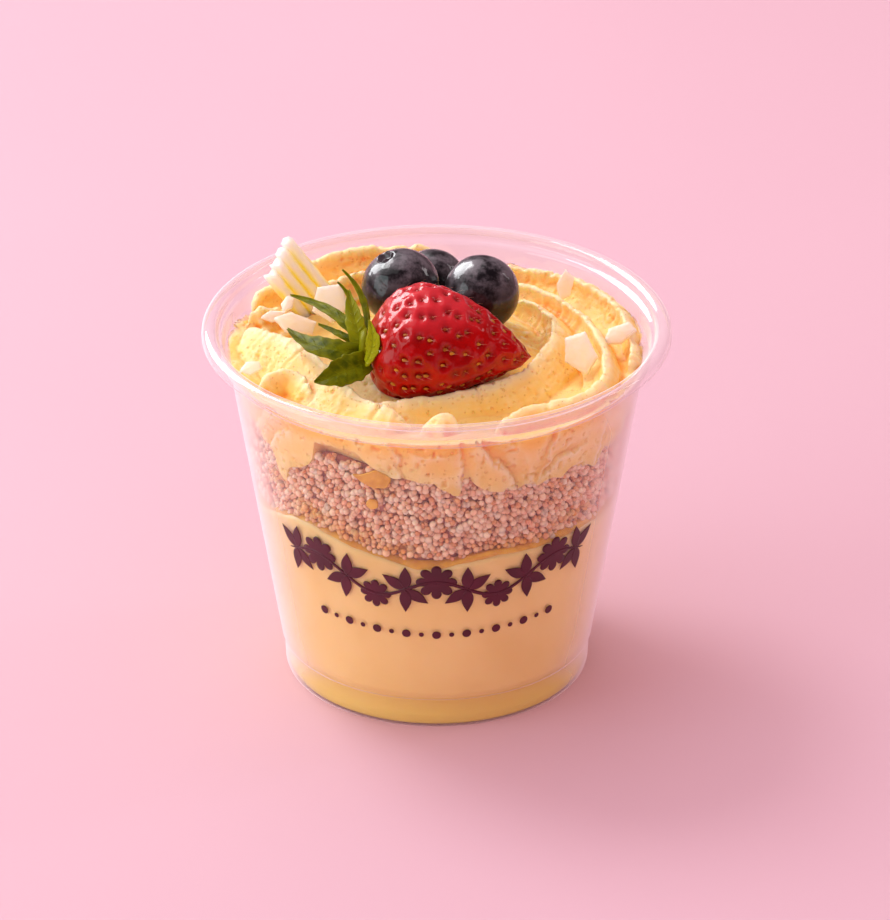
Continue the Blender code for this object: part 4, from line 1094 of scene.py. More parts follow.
def ribbon_section(outer, inner, lip, lip_height):
    """Outline across a ribbon as (outward, up) from its thin lip, with a hollow inner face."""
    outer_run, outer_drop = outer
    inner_run, inner_drop = inner
    root = RIBBON_ROOT - lip_height
    section = [(outer_run, root), (outer_run, -outer_drop)]
    for share in (0.85, 0.7, 0.55, 0.4, 0.25, 0.12):
        section.append((lip / 2 + (outer_run - lip / 2) * share, -outer_drop * share ** 1.15))
    section += [(lip * 0.5, -0.25 * lip), (lip * 0.25, -0.04 * lip), (0, 0), (-lip * 0.25, -0.05 * lip),
                (-lip * 0.5, -0.3 * lip)]
    for share in (0.12, 0.25, 0.45, 0.65, 0.85):
        section.append((-lip / 2 - (inner_run - lip / 2) * share ** 2.0, -inner_drop * share ** 0.75))
    section += [(-inner_run, -inner_drop), (-inner_run, root)]
    return np.array(section)


def build_ribbon(index, stations, outer, inner, lip):
    """Closed fin swept along its wavy, slightly torn lip, as (points, faces) and its lip's points."""
    path = smooth_path(stations, RIBBON_STEP)
    along = np.gradient(path[:, :2], axis=0)
    along /= np.linalg.norm(along, axis=1)[:, None]
    chord = path[-1] - path[0]
    middle = path[len(path) // 2]
    side_sign = 1 if chord[1] * middle[0] - chord[0] * middle[1] > 0 else -1
    outward = np.stack([along[:, 1], -along[:, 0]], 1) * side_sign
    wave = 0.5 * value_noise(path, 4.5, index) + 0.35 * value_noise(path, 1.7, index + 30)
    tear = np.clip(value_noise(path, 1.0, index + 60) - 0.35, 0, 1) * 1.3
    ragged = 0.45 * wave - tear
    sway = 0.40 * value_noise(path, 3.2, index + 90) + 0.16 * value_noise(path, 1.1, index + 95)
    section = ribbon_section(outer, inner, lip * LIP_SHARE, float(path[:, 2].mean()))
    ends = np.minimum(np.arange(len(path)), np.arange(len(path))[::-1]) * RIBBON_STEP
    swell = np.clip(0.35 + ends / 5.0, 0.0, 1.0)
    droop = 2.2 * np.clip(1 - ends / 4.0, 0.0, 1.0) ** 2
    points = np.zeros((len(path), len(section), 3))
    for column, (across, up) in enumerate(section):
        near_lip = math.exp(-abs(across) / RAGGED_REACH)
        reach = across * swell + sway * near_lip
        points[:, column, :2] = path[:, :2] + outward * reach[:, None]
        points[:, column, 2] = path[:, 2] + up - droop + ragged * near_lip
    sides = len(section)
    faces = []
    for ring in range(len(path) - 1):
        low = ring * sides
        for side in range(sides):
            beside = (side + 1) % sides
            faces.append((low + side, low + beside, low + sides + beside, low + sides + side))
    faces.append(tuple(range(sides)))
    faces.append(tuple(reversed(range((len(path) - 1) * sides, len(path) * sides))))
    lips = path.copy()
    lips[:, 2] += ragged - droop
    return points.reshape(-1, 3), faces, lips


def cream_core():
    """Body of the cream under its ribbons, wider than the cup because it is pressed in afterwards."""
    sides = 220
    angles = even_angles(sides)
    ring = round_axis(41, angles, 0)
    ragged = 0.55 * value_noise(ring, 2.4, 41) + 0.35 * value_noise(ring, 1.1, 42)
    over = 1.06
    rows = [(0, CRUMB_TOP)]
    rows += level_rows((0.4, 0.62, 0.75, 0.86, 0.92), lambda share: crumb_level(angles, share))
    rows += level_rows((0.965, 1.0, over), lambda share: wall_edge(angles) + ragged)
    rows += level_rows((over, 1.0, 0.92, 0.84, 0.76, 0.68, 0.6, 0.5, 0.4, 0.3, 0.18),
                       lambda share: cream_top(angles, min(share, 1.0)))
    rows.append((0, CREAM_CENTRE))
    return turned(rows, sides)


def remesh(piece, voxel):
    """Fuse overlapping shells into one skin of even cells."""
    modifier = piece.modifiers.new("fuse", "REMESH")
    modifier.mode = "VOXEL"
    modifier.voxel_size = voxel * MM
    modifier.use_smooth_shade = True
    smooth = piece.modifiers.new("soften", "SMOOTH")
    smooth.factor = 0.4
    smooth.iterations = 1
    bpy.context.view_layer.update()
    graph = bpy.context.evaluated_depsgraph_get()
    fused = bpy.data.meshes.new_from_object(piece.evaluated_get(graph))
    piece.modifiers.clear()
    piece.data = fused


def push_out_of_ball(points, centre, radius):
    """Press a round socket into the points that lie inside a ball."""
    offset = points - np.array(centre)
    away = np.linalg.norm(offset, axis=1)
    inside = away < radius
    points[inside] = np.array(centre) + offset[inside] / away[inside][:, None] * radius
    return points


def push_out_of_strawberry(points, clearance):
    """Press a socket into the points that lie inside the strawberry."""
    matrix = strawberry_frame()
    local = in_frame(matrix.inverted(), points)
    share = np.clip(local[:, 0] / STRAWBERRY_LENGTH, 0.001, 0.999)
    local[:, 2] -= strawberry_rise(share)
    away = np.hypot(local[:, 1], local[:, 2])
    wanted = strawberry_radius(share) + clearance
    inside = (local[:, 0] > -clearance) & (local[:, 0] < STRAWBERRY_LENGTH + clearance) & (away < wanted)
    grown = wanted[inside] / np.maximum(away[inside], 0.01)
    local[inside, 1:] *= grown[:, None]
    local[:, 2] += strawberry_rise(share)
    points[inside] = in_frame(matrix, local[inside])
    return points


def push_out_of_fruit(points, clearance):
    """Press sockets into the points that lie inside the strawberry or a berry."""
    points = push_out_of_strawberry(points, clearance)
    for centre, radius, _ in BERRIES:
        points = push_out_of_ball(points, centre, radius + clearance)
    return points


def build_cream():
    """Fused cream, pressed to the wall and under the fruit, then streaked, torn and pitted."""
    parts = [cream_core()]
    lips = []
    for index, (stations, outer, inner, lip) in enumerate(RIBBONS.values()):
        points, faces, lip_points = build_ribbon(index, stations, outer, inner, lip)
        parts.append((points, faces))
        lips.append(lip_points)
    points, faces = merge_meshes(parts)
    cream = add_mesh("mango_cream", points, faces, cream_material())
    remesh(cream, CREAM_VOXEL)
    mesh = cream.data
    points = read_points(mesh)
    normals = read_normals(mesh)
    top = np.clip((points[:, 2] - 66.0) / 2.0, 0, 1)
    ridge = hollowness(mesh, points)
    points = points - normals * (0.8 * top * np.clip(ridge, -0.7, 0.9))[:, None]
    rough = torn_patches(points)
    height = 0.22 * value_noise(points, 5.5, 51) + 0.06 * value_noise(points, 2.1, 52)
    height += piping_streaks(points) + 0.03 * value_noise(points, 0.8, 55)
    height += rough * (0.45 * value_noise(points, 1.5, 53) + 0.28 * value_noise(points, 0.8, 54))
    points = points + normals * (height * (0.3 + 0.7 * top))[:, None]
    ragged = 0.16 * value_noise(points, 1.8, 58) + 0.10 * value_noise(points, 0.9, 59)
    points[:, 2] += top * lip_tint(points, lips) * ragged
    points = press_pores(points, normals, top)
    points = push_out_of_fruit(points, 0.1)
    points, crevice = press_to_wall(points)
    write_points(mesh, points)
    mesh.shade_smooth()
    hollow = hollowness(mesh, points)
    # painted shade: how deeply each hollow of the top is tinted
    deep = np.clip((hollow - 0.10) / 0.55, 0, 0.9) * (0.25 + 0.75 * top)
    # painted light on the lips and on ridges
    set_tint(mesh, "lip", np.maximum(0.8 * lip_tint(points, lips), np.clip(-hollow / 0.35, 0, 0.7)))
    set_tint(mesh, "rough", rough)
    # painted shade in the crevices at the wall and in the hollows
    set_tint(mesh, "fold", np.maximum(0.5 * crevice, deep))
    # painted shade on the steep faces of the top
    set_tint(mesh, "steep_shade", np.clip((0.92 - read_normals(mesh)[:, 2]) / 0.75, 0, 1) * top)
    dress(cream, "cream_swirl")


def piping_streaks(points):
    """Fine ridges that the nozzle leaves along the turns of the swirl."""
    angle = np.arctan2(points[:, 1], points[:, 0])
    reach = np.hypot(points[:, 0], points[:, 1])
    unrolled = np.stack([angle * reach * 0.16, reach, points[:, 2]], 1)
    return 0.06 * value_noise(unrolled, 0.9, 56) + 0.04 * value_noise(unrolled, 0.5, 57)


def press_pores(points, normals, share):
    """Burst bubbles: small pits at random places on the top of the cream."""
    draw = np.random.default_rng(17)
    open_places = np.flatnonzero((share > 0.5) & (normals[:, 2] > -0.2))
    centres = points[draw.choice(open_places, LARGE_PORES, replace=False)]
    sizes = draw.uniform(0.28, 0.62, LARGE_PORES)
    which, away = nearest(points, centres)
    size = sizes[which]
    depth = 0.55 * size * np.clip(1.2 - away / size, 0, 1) ** 1.5
    return points - normals * depth[:, None]


def hollowness(mesh, points):
    """Millimetres by which each vertex lies below its smoothed surroundings; negative on ridges."""
    edges = np.zeros(len(mesh.edges) * 2, int)
    mesh.edges.foreach_get("vertices", edges)
    first, second = edges.reshape(-1, 2).T
    count = len(points)
    neighbours = np.bincount(first, minlength=count) + np.bincount(second, minlength=count)
    step = CREAM_VOXEL
    smooth = points.copy()
    for _ in range(round((HOLLOW_REACH / step) ** 2)):
        for axis in range(3):
            column = smooth[:, axis]
            total = np.bincount(first, column[second], count) + np.bincount(second, column[first], count)
            smooth[:, axis] = total / np.maximum(neighbours, 1)
    return np.einsum("ij,ij->i", smooth - points, read_normals(mesh))


def press_to_wall(points):
    """Hold the cream inside the cup, flat against its wall with shallow crevices."""
    reach = np.hypot(points[:, 0], points[:, 1])
    angle = np.arctan2(points[:, 1], points[:, 0])
    on_wall = np.stack([angle * 41, points[:, 2] * 1.3, np.zeros(len(points))], 1)
    bubble = 0.9 * np.clip((value_noise(on_wall, 1.1, 73) - 0.66) / 0.2, 0, 1)
    wave = 0.16 * (1 + value_noise(on_wall, 4.0, 74))
    inward = fold_depth(angle, points[:, 2]) + 0.6 * bubble + wave
    wall = room_radius(points[:, 2]) + INTO_WALL
    pressed = np.clip((reach - wall + 4.0) / 4.0, 0, 1)
    moved = np.minimum(reach, wall) - inward * pressed
    points[:, :2] *= (moved / np.maximum(reach, 0.001))[:, None]
    # the second value marks the crevices, which build_cream tints as painted shade
    return points, np.clip((inward - 0.7) / 1.6, 0, 1) * pressed


def fold_depth(angle, height):
    """Depth behind the wall where one lobe of cream overlaps the next: a cliff, then a slope back out."""
    scale = math.radians(inner_radius(63.0))
    across = np.degrees(angle) * scale
    place = np.stack([across, height, np.zeros(len(angle))], 1)
    wander = 0.7 * value_noise(place, 2.2, 75) + 0.25 * value_noise(place, 0.8, 76)
    depth = np.zeros(len(angle))
    for places, deepest, slope in WALL_FOLDS:
        nearest = np.full(len(angle), 99.0)
        side = np.ones(len(angle))
        for here, beyond in zip(places, places[1:]):
            start = np.array([here[0] * scale, here[1]])
            run = np.array([beyond[0] * scale, beyond[1]]) - start
            travel = ((across - start[0]) * run[0] + (height - start[1]) * run[1]) / (run @ run)
            travel = np.clip(travel, 0, 1)
            off_across = across - start[0] - travel * run[0]
            off_height = height - start[1] - travel * run[1]
            away = np.hypot(off_across, off_height)
            closer = away < nearest
            nearest = np.where(closer, away, nearest)
            side = np.where(closer, np.sign(run[0] * off_height - run[1] * off_across), side)
        beyond_cliff = side * nearest * math.copysign(1, slope) + wander
        rise = np.clip(beyond_cliff / FOLD_TURN, 0, 1)
        fall = np.clip(1 - beyond_cliff / abs(slope), 0, 1)
        tip = np.clip(3.0 - nearest / 3.0, 0, 1)
        depth = np.maximum(depth, deepest * rise * rise * (3 - 2 * rise) * fall ** 1.5 * tip)
    return depth


def torn_patches(points):
    """Where the cream is torn and crumbly: behind the fruit, at the far side and on the left band."""
    rough = np.zeros(len(points))
    for centre, reach, strength in TORN_SPOTS:
        away = np.linalg.norm(points - np.array(centre), axis=1)
        rough = np.maximum(rough, strength * np.exp(-(away / reach) ** 2))
    return rough


def lip_tint(points, lips):
    """1 on the ribbons' lips, falling to 0 a few millimetres away."""
    _, away = nearest(points, np.concatenate(lips))
    return np.exp(-(away / 1.9) ** 2)


# ---------------------------------------------------------------- strawberry

def strawberry_radius(share):
    """Radius at a share of the length from the stalk end."""
    return STRAWBERRY_RADIUS * np.sin(math.pi * share ** STRAWBERRY_SHOULDER) ** STRAWBERRY_FULLNESS


def strawberry_rise(share):
    """Height of the fruit's arched centre line over the straight one."""
    return STRAWBERRY_BEND * np.sin(math.pi * share)


def strawberry_frame():
    """Matrix whose X axis runs from the stalk end to the tip."""
    along = (STRAWBERRY_TIP - STRAWBERRY_STALK_END).normalized()
    turn = along.to_track_quat("X", "Z").to_matrix().to_4x4()
    return Matrix.Translation(STRAWBERRY_STALK_END) @ turn


def in_frame(matrix, points):
    """Points moved by a 4x4 matrix."""
    matrix = np.array(matrix)
    return np.asarray(points) @ matrix[:3, :3].T + matrix[:3, 3]


def seed_places(draw):
    """Share of the length and angle of every seed."""
    places = []
    for row in range(SEED_ROWS):
        share = 0.06 + 0.90 * row / (SEED_ROWS - 1)
        count = max(4, round(math.tau * float(strawberry_radius(share)) / SEED_SPACING))
        for step in range(count):
            angle = math.tau * (step + 0.5 * (row % 2) + draw.uniform(-0.20, 0.20)) / count
            places.append((share + draw.uniform(-0.018, 0.018), angle))
    return places


def strawberry_point(share, angle, lift=0.0):
    """Point on the strawberry in its own frame, with its outward and lengthwise directions."""
    radius = float(strawberry_radius(share))
    ahead = float(strawberry_radius(min(0.998, share + 0.01)) - strawberry_radius(max(0.002, share - 0.01)))
    ring = Vector((0, math.cos(angle), math.sin(angle)))
    along = (Vector((0.02 * STRAWBERRY_LENGTH, 0, 0)) + ring * ahead).normalized()
    out = (ring - along * ring.dot(along)).normalized()
    centre = Vector((share * STRAWBERRY_LENGTH, 0, float(strawberry_rise(share))))
    return centre + ring * radius + out * lift, out, along


def build_strawberry():
    """Glazed fruit with a pit round each seed, and the seeds and their hairs as pieces of their own."""
    draw = random.Random(11)
    length = STRAWBERRY_LENGTH
    rings = 200
    shares = 0.5 - 0.5 * np.cos(math.pi * np.arange(1, rings) / rings)
    rows = [(0, 0.0)] + [(strawberry_radius(share), share * length) for share in shares] + [(0, length)]
    points, faces = turned(rows, 260)
    points = points[:, [2, 0, 1]]
    out = points * np.array([0, 1, 1])
    out[:, 0] = (points[:, 0] - length * 0.42) * 0.25
    out /= np.maximum(np.linalg.norm(out, axis=1), 0.01)[:, None]
    points[:, 2] += strawberry_rise(np.clip(points[:, 0] / length, 0, 1))
    places = seed_places(draw)
    _, near = nearest(points, [strawberry_point(share, angle)[0] for share, angle in places])
    pit = np.exp(-(near / 0.85) ** 2)
    lumps = 0.50 * value_noise(points, 9.0, 81) + 0.34 * value_noise(points, 3.4, 82)
    lumps += 0.22 * np.clip(near / 1.9, 0, 1) + 0.16 * value_noise(points, 1.6, 83)
    points = points + out * (lumps - 0.62 * pit - 0.3)[:, None]
    stalk = np.exp(-(points[:, 0] / 4.0) ** 2)
    placed = in_frame(strawberry_frame(), points)
    add_piece("strawberry_fruit", (placed, faces), strawberry_material(), "strawberry_red", "strawberry",
              crest=crest_tint(placed), pit=pit, stalk=stalk)
    build_seeds(places, draw)
    build_hairs(places, draw)


def crest_tint(points):
    """1 along the top of the strawberry, where it is painted paler: partly paler skin, partly painted
    highlight.
    """
    return np.clip((points[:, 2] - CREST_HEIGHT) / CREST_RISE, 0, 1) \
        * np.clip((CREST_RIGHT - points[:, 0]) / CREST_FADE, 0, 1)


def build_seeds(places, draw):
    """Teardrop seeds, each lying in its pit along the fruit."""
    base_points, base_faces = sphere_mesh(2)
    parts = []
    for share, angle in places:
        place, out, along = strawberry_point(share, angle, -0.66)
        around = along.cross(out)
        size = draw.uniform(0.88, 1.12)
        taper = 1 - 0.35 * base_points[:, 0]
        shape = (base_points[:, :1] * 0.56 * size * np.array(along)
                 + (base_points[:, 1] * taper)[:, None] * 0.31 * size * np.array(around)
                 + (base_points[:, 2] * taper)[:, None] * 0.24 * size * np.array(out))
        parts.append((in_frame(strawberry_frame(), shape + np.array(place)), turned_over(base_faces)))
    shape = merge_meshes(parts)
    add_piece("strawberry_seeds", shape, seed_material(), "strawberry_red", crest=crest_tint(shape[0]))


def build_hairs(places, draw):
    """A fine hair on every seed, bent toward the tip."""
    rings = 5
    faces = [(2, 1, 0), (3 * rings, 3 * rings + 1, 3 * rings + 2)]
    for low in range(0, 3 * rings, 3):
        faces += [(low + side, low + (side + 1) % 3, low + 3 + (side + 1) % 3, low + 3 + side)
                  for side in range(3)]
    parts = []
    for share, angle in places:
        place, out, along = strawberry_point(share, angle, -0.25)
        lean = (out + along * draw.uniform(0.3, 1.1)).normalized()
        beside = out.cross(along) * draw.uniform(-0.35, 0.35)
        reach = draw.uniform(0.7, 1.2)
        points = []
        for travel in np.arange(rings + 1) / rings:
            travel = float(travel)
            centre = place + lean * reach * travel + (along * 0.5 + beside) * reach * travel ** 2
            thick = 0.035 * (1 - 0.8 * travel)
            points += [tuple(centre + out.cross(along) * thick * math.cos(a) + along * thick * math.sin(a))
                       for a in (0.0, math.tau / 3, 2 * math.tau / 3)]
        parts.append((in_frame(strawberry_frame(), points), turned_over(faces)))
    add_piece("strawberry_hairs", merge_meshes(parts), hair_material(), "strawberry_red")


# ---------------------------------------------------------------- calyx

def leaf_width(share, width):
    """Half width of a leaf at a share of its length."""
    return 0.15 + 0.5 * width * np.sin(math.pi * np.minimum(1.0, share * 0.86 + 0.12)) ** 0.75 \
        * (1 - share) ** 0.3


def leaf_mesh(index, root, middle, tip, width, roll):
    """Wavy pointed leaf with a keel: points, faces and tints for veins and edge."""
    cells = 54
    across = np.linspace(-1, 1, 21)
    root, middle, tip = Vector(root), Vector(middle), Vector(tip)
    bend = 2 * middle - (root + tip) / 2
    top = []
    bottom = []
    vein = []
    edge = []
    for cell in range(cells + 1):
        share = cell / cells
        place = (1 - share) ** 2 * root + 2 * share * (1 - share) * bend + share ** 2 * tip
        along = (2 * (1 - share) * (bend - root) + 2 * share * (tip - bend)).normalized()
        sideways = along.cross(Vector((0.0, -0.75, 0.66))).normalized()
        sideways = Matrix.Rotation(math.radians(roll), 3, along) @ sideways
        face = sideways.cross(along).normalized()
        half = float(leaf_width(min(share, 0.998), width))
        nick = 1 + 0.05 * math.sin(23 * share + index) + 0.04 * math.sin(41 * share + 2 * index)
        for side in across:
            fold = (0.22 * abs(side) * half + 0.25 * math.sin(5 * share + 2 * side)
                    + 0.12 * half * math.sin(9 * share + 3 * index) * abs(side) * side)
            rib = math.exp(-(side / 0.09) ** 2)
            branch = abs(math.sin(math.pi * (share * 7 - abs(side) * 0.9)))
            branch = math.exp(-(branch / 0.16) ** 2) * (1 - abs(side)) ** 0.5
            fold -= 0.14 * rib - 0.09 * branch
            point = place + sideways * float(side) * half * nick + face * fold
            thick = LEAF_THICKNESS * (1 - 0.6 * abs(side) ** 2)
            top.append(point + face * thick / 2)
            bottom.append(point - face * thick / 2)
            vein.append(max(rib, 0.7 * branch))
            edge.append(max(abs(side) ** 4, share ** 6))
    points = [tuple(point) for point in top + bottom]
    return points, slab_faces(cells + 1, len(across)), vein + vein, edge + edge


def calyx_cap():
    """Small cap on the stalk end that the leaves grow from."""
    back = -CALYX_OFFSET
    front = back + CALYX_THICKNESS
    rows = [(0, back), (0.5 * CALYX_RADIUS, back - 0.1), (0.8 * CALYX_RADIUS, back + 0.2),
            (CALYX_RADIUS, front - 0.2), (0.9 * CALYX_RADIUS, front), (0, front)]
    points, faces = turned(rows, 48)
    return in_frame(strawberry_frame(), points[:, [2, 0, 1]]), faces


def build_calyx():
    """Cap and leaves, with painted light on the upright ones."""
    parts = [calyx_cap()]
    count = len(parts[0][0])
    vein = [0.2] * count
    edge = [0.6] * count
    light = [0.4] * count
    for index, (root, middle, tip, width, roll) in enumerate(LEAVES):
        points, faces, leaf_vein, leaf_edge = leaf_mesh(index, root, middle, tip, width, roll)
        parts.append((points, faces))
        vein += leaf_vein
        edge += leaf_edge
        light += [LEAF_LIGHT[index]] * len(points)
    points, faces = merge_meshes(parts)
    points = push_out_of_fruit(points, 0.25)
    add_piece("calyx_leaves", (points, faces), leaf_material(), "leaf_green", "strawberry_calyx",
              vein=vein, edge=edge, light=light)


# ---------------------------------------------------------------- berries

def build_berry(number, centre, radius, crown, material):
    """Slightly flattened berry with a five-pointed crown round a pit."""
    sides = 140
    star = 0.5 + 0.5 * np.cos(5 * even_angles(sides))
    rows = [(0, -0.94 * radius)]
    for step in range(1, 60):
        lean = math.pi * step / 60
        if math.sin(lean) < CROWN_SHARE + 0.02 and lean > 2:
            break
        rows.append((radius * math.sin(lean), -0.94 * radius * math.cos(lean)))
    tints = [0.0] * (1 + (len(rows) - 1) * sides)
    rim = CROWN_SHARE * radius
    crown_rows = (            # radius, height and rise of the points as shares of the berry's radius, tint
        (rim + 0.01 * radius, 0.90, 0.0, 0.2), (rim, 0.91, 0.03, 0.4), (rim - 0.01 * radius, 0.92, 0.05, 0.6),
        (rim - 0.03 * radius, 0.92, 0.05, 0.9), (rim - 0.05 * radius, 0.89, 0.02, 1.0),
        (0.6 * rim, 0.84, 0.0, 1.0), (0.4 * rim, 0.81, 0.0, 1.0))
    for row_radius, height, rise, tint in crown_rows:
        rows.append((row_radius, radius * height + rise * radius * star))
        tints += [tint] * sides
    rows.append((0, 0.82 * radius))
    tints.append(0.8)
    points, faces = turned(rows, sides)
    points = points * (1 + 0.012 * value_noise(points, 5.0, 90 + number))[:, None]
    turn = Vector(crown).to_track_quat("Z", "Y").to_matrix().to_4x4()
    placed = in_frame(Matrix.Translation(Vector(centre)) @ turn, points)
    add_piece(f"berry_skin_{number}", (placed, faces), material, "berry_blue", f"blueberry_{number}",
              crown=tints, crest=0.5 + 0.7 * (placed[:, 2] - centre[2]) / radius)


# ---------------------------------------------------------------- white chocolate

def build_fan(material):
    """Fluted chocolate: flat-topped ridges side by side with painted shade in yellow in the grooves and
    staggered broken ends.
    """
    along = FAN_TOP - FAN_FOOT
    across = FAN_ACROSS.normalized()
    out = across.cross(along).normalized()
    way = along.normalized()
    count = len(FAN_RIDGE_ENDS)
    columns = 24 * count + 1
    rings = 70
    upper = []
    lower = []
    tint = []
    for column in range(columns):
        ridge = min(count - 1, column // 24)
        within = column / 24 - ridge
        dip = 1 - math.sin(math.pi * within) ** 0.7
        end = FAN_RIDGE_ENDS[ridge] - 0.012 * math.cos(7 * within + ridge)
        base = FAN_FOOT + across * FAN_RIDGE_PITCH * column / 24
        for ring in range(rings + 1):
            share = ring / rings
            close = min(1.0, (1 - share) * rings / 4)
            round_end = 0.75 + 0.25 * math.sqrt(1 - (1 - close) ** 2)
            groove_shade_fade = min(1.0, max(0.0, (0.97 - share) / 0.35))
            place = base + along * end * share
            top = (FAN_THICKNESS / 2 - 0.5 * FAN_GROOVE_DEPTH * dip) * round_end
            bottom = -(FAN_THICKNESS / 2 - FAN_GROOVE_DEPTH * dip) * round_end
            upper.append(tuple(place + out * top))
            lower.append(tuple(place + out * bottom))
            # painted shade: yellow in the grooves, fading out towards the broken ends
            tint.append(min(1.0, max(0.0, dip * 1.5 - 0.10)) * groove_shade_fade)
    size = rings + 1
    points = np.array(upper + lower)
    points = points + 0.10 * np.stack([value_noise(points, 1.6, seed) for seed in (1, 2, 3)], 1)
    near_end = np.maximum(0.0, (np.arange(len(points)) % size) / rings - 0.8) * 5
    points = points + np.array(way) * (0.25 * value_noise(points, 1.3, 4) * near_end)[:, None]
    add_piece("chocolate_fluted", (points, turned_over(slab_faces(columns, size))), material, "white_chocolate",
              "chocolate_fan", groove=tint + tint)


def shard_mesh(number, centre, size, turn):
    """Broken flake with a softened rim, as (points, faces)."""
    draw = random.Random(round(centre[0] * 10))
    place = Matrix.Translation(Vector(centre))
    for axis, degrees in zip("XYZ", turn):
        place = place @ Matrix.Rotation(math.radians(degrees), 4, axis)
    corners = []
    for step in range(5):
        angle = math.tau * (step + 0.5) / 5
        reach = 0.5 * draw.uniform(0.92, 1.16)
        corners.append(np.array([math.cos(angle) * size[0] * reach, math.sin(angle) * size[1] * reach]))
    fine = 12
    outline = []
    for here, beyond in zip(corners, corners[1:] + corners[:1]):
        for step in range(fine):
            outline.append(here + (beyond - here) * step / fine)
    outline = np.array(outline)
    flat = np.column_stack([outline * 3, np.full(len(outline), number * 7.0)])
    outline = outline * (1 + 0.04 * value_noise(flat, 1.5, number))[:, None]
    half = size[2] / 2
    bow = 0.042 * size[0]
    levels = ((0.0, -half), (0.5, -half), (0.96, -half), (1.0, -0.7 * half), (1.0, 0.7 * half), (0.96, half),
              (0.7, half), (0.4, half), (0.0, half))
    points = []
    for share, level in levels[1:-1]:
        rise = bow * (1 - share)
        points += [(x * share, y * share, level + rise) for x, y in outline]
    points = np.array([(0, 0, -half + bow)] + points + [(0, 0, half + bow)])
    points[:, 2] += 0.07 * value_noise(points * 2, 3.0, number + 40)
    return in_frame(place, points), capped_faces(len(levels) - 2, len(outline))


def add_flake(name, shape, material, node=None):
    """Piece of chocolate with soft faces and sharp broken edges."""
    flake = add_piece(name, shape, material, "white_chocolate", node, groove=np.full(len(shape[0]), 0.34))
    flake.data.set_sharp_from_angle(angle=math.radians(50))


def build_flakes(material):
    """The larger flakes, and the small loose chips among them as one piece."""
    for number, shard in enumerate(SHARDS, start=1):
        shape = shard_mesh(number, *shard)
        add_flake(f"chocolate_flake_{number}", shape, material, f"chocolate_shard_{number}")
    chips = merge_meshes([shard_mesh(number, *chip) for number, chip in enumerate(CHIPS, start=20)])
    add_flake("chocolate_chips", chips, material)


# ---------------------------------------------------------------- stage

def add_area(name, place, aim, size, power, colour):
    """Soft area light that points at its aim; lengths in metres."""
    light = bpy.data.lights.new(name, "AREA")
    light.shape = "DISK"
    light.size = size
    light.energy = power
    light.color = colour
    lamp = link_object(name, light)
    lamp.location = place
    lamp.rotation_euler = (Vector(aim) - Vector(place)).to_track_quat("-Z", "Y").to_euler()
    return lamp


def build_world():
    """Pink studio walls, brighter on the left, and dimmer where gloss reflects them."""
    world = bpy.data.worlds.new("studio")
    world.use_nodes = True
    tree = world.node_tree
    background = tree.nodes["Background"]
    background.inputs["Color"].default_value = (1.0, 0.65, 0.68, 1.0)
    direction = tree.nodes.new("ShaderNodeTexCoord")
    axes = tree.nodes.new("ShaderNodeSeparateXYZ")
    tree.links.new(direction.outputs["Generated"], axes.inputs[0])
    side = tree.nodes.new("ShaderNodeMapRange")
    tree.links.new(axes.outputs["X"], side.inputs["Value"])
    side.inputs["From Min"].default_value = -1.0
    side.inputs["To Min"].default_value = WORLD_LEFT
    side.inputs["To Max"].default_value = WORLD_RIGHT
    path = tree.nodes.new("ShaderNodeLightPath")
    gloss = tree.nodes.new("ShaderNodeMapRange")
    tree.links.new(path.outputs["Is Glossy Ray"], gloss.inputs["Value"])
    gloss.inputs["To Min"].default_value = 1.0
    gloss.inputs["To Max"].default_value = WORLD_GLOSS
    strength = tree.nodes.new("ShaderNodeMath")
    strength.operation = "MULTIPLY"
    tree.links.new(side.outputs["Result"], strength.inputs[0])
    tree.links.new(gloss.outputs["Result"], strength.inputs[1])
    tree.links.new(strength.outputs[0], background.inputs["Strength"])
    bpy.context.scene.world = world


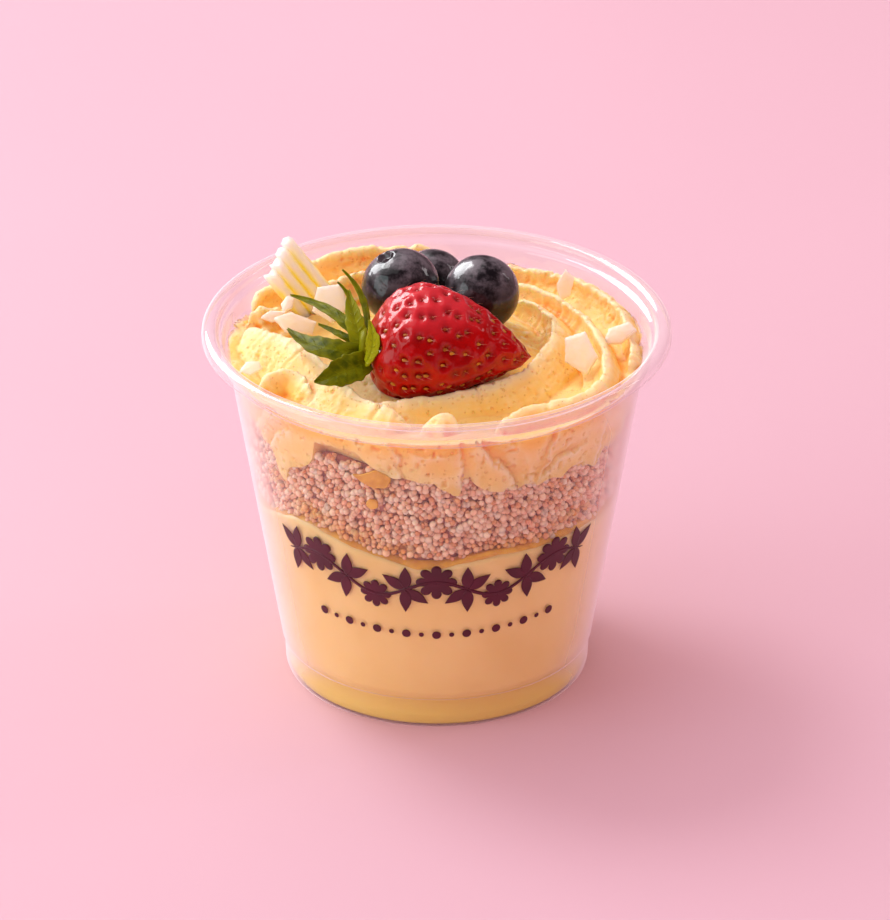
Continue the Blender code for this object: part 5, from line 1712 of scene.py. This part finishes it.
def build_stage():
    """Pale floor under a key with a soft halo, a left fill, a window that only gloss shows, and a strip."""
    corners = [(-FLOOR_REACH, -FLOOR_REACH, 0), (FLOOR_REACH, -FLOOR_REACH, 0), (FLOOR_REACH, FLOOR_REACH, 0),
               (-FLOOR_REACH, FLOOR_REACH, 0)]
    add_mesh("floor", corners, [(0, 1, 2, 3)], floor_material())
    build_world()
    lamps = {light[0]: add_area(*light) for light in LIGHTS}
    lamps["window"].visible_diffuse = False
    lamps["window"].visible_transmission = False
    strip = lamps["right_strip"].data
    strip.shape = "RECTANGLE"
    strip.size_y = STRIP_LENGTH
    bpy.context.scene.view_settings.view_transform = "Standard"


def build_camera():
    elevation = math.radians(CAMERA_ELEVATION)
    data = bpy.data.cameras.new("camera")
    data.sensor_width = SENSOR
    data.lens = CAMERA_LENS
    data.clip_end = 20.0
    camera = link_object("camera", data)
    back = Vector((0, math.cos(elevation), -math.sin(elevation)))
    camera.location = (CAMERA_AIM - CAMERA_DISTANCE * back) * MM
    camera.rotation_euler = (math.pi / 2 - elevation, 0, 0)
    bpy.context.scene.camera = camera


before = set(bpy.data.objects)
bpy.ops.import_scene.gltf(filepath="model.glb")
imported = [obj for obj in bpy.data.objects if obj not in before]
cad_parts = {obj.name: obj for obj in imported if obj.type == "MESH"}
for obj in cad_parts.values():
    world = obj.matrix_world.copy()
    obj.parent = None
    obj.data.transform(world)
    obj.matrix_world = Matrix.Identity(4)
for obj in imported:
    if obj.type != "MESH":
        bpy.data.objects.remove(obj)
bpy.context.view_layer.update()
build_camera()
build_stage()
build_cup()
build_print()
build_mousse()
SAUCE = sauce_material()
build_sauce(SAUCE)
for drop_number, drop in enumerate(SAUCE_DROPS, start=1):
    build_sauce_drop(drop_number, SAUCE, *drop)
build_crumb_core()
build_crumb_grains()
build_cream()
build_strawberry()
build_calyx()
BERRY = berry_material()
for berry_number, berry in enumerate(BERRIES, start=1):
    build_berry(berry_number, *berry, BERRY)
CHOCOLATE = chocolate_material()
build_fan(CHOCOLATE)
build_flakes(CHOCOLATE)
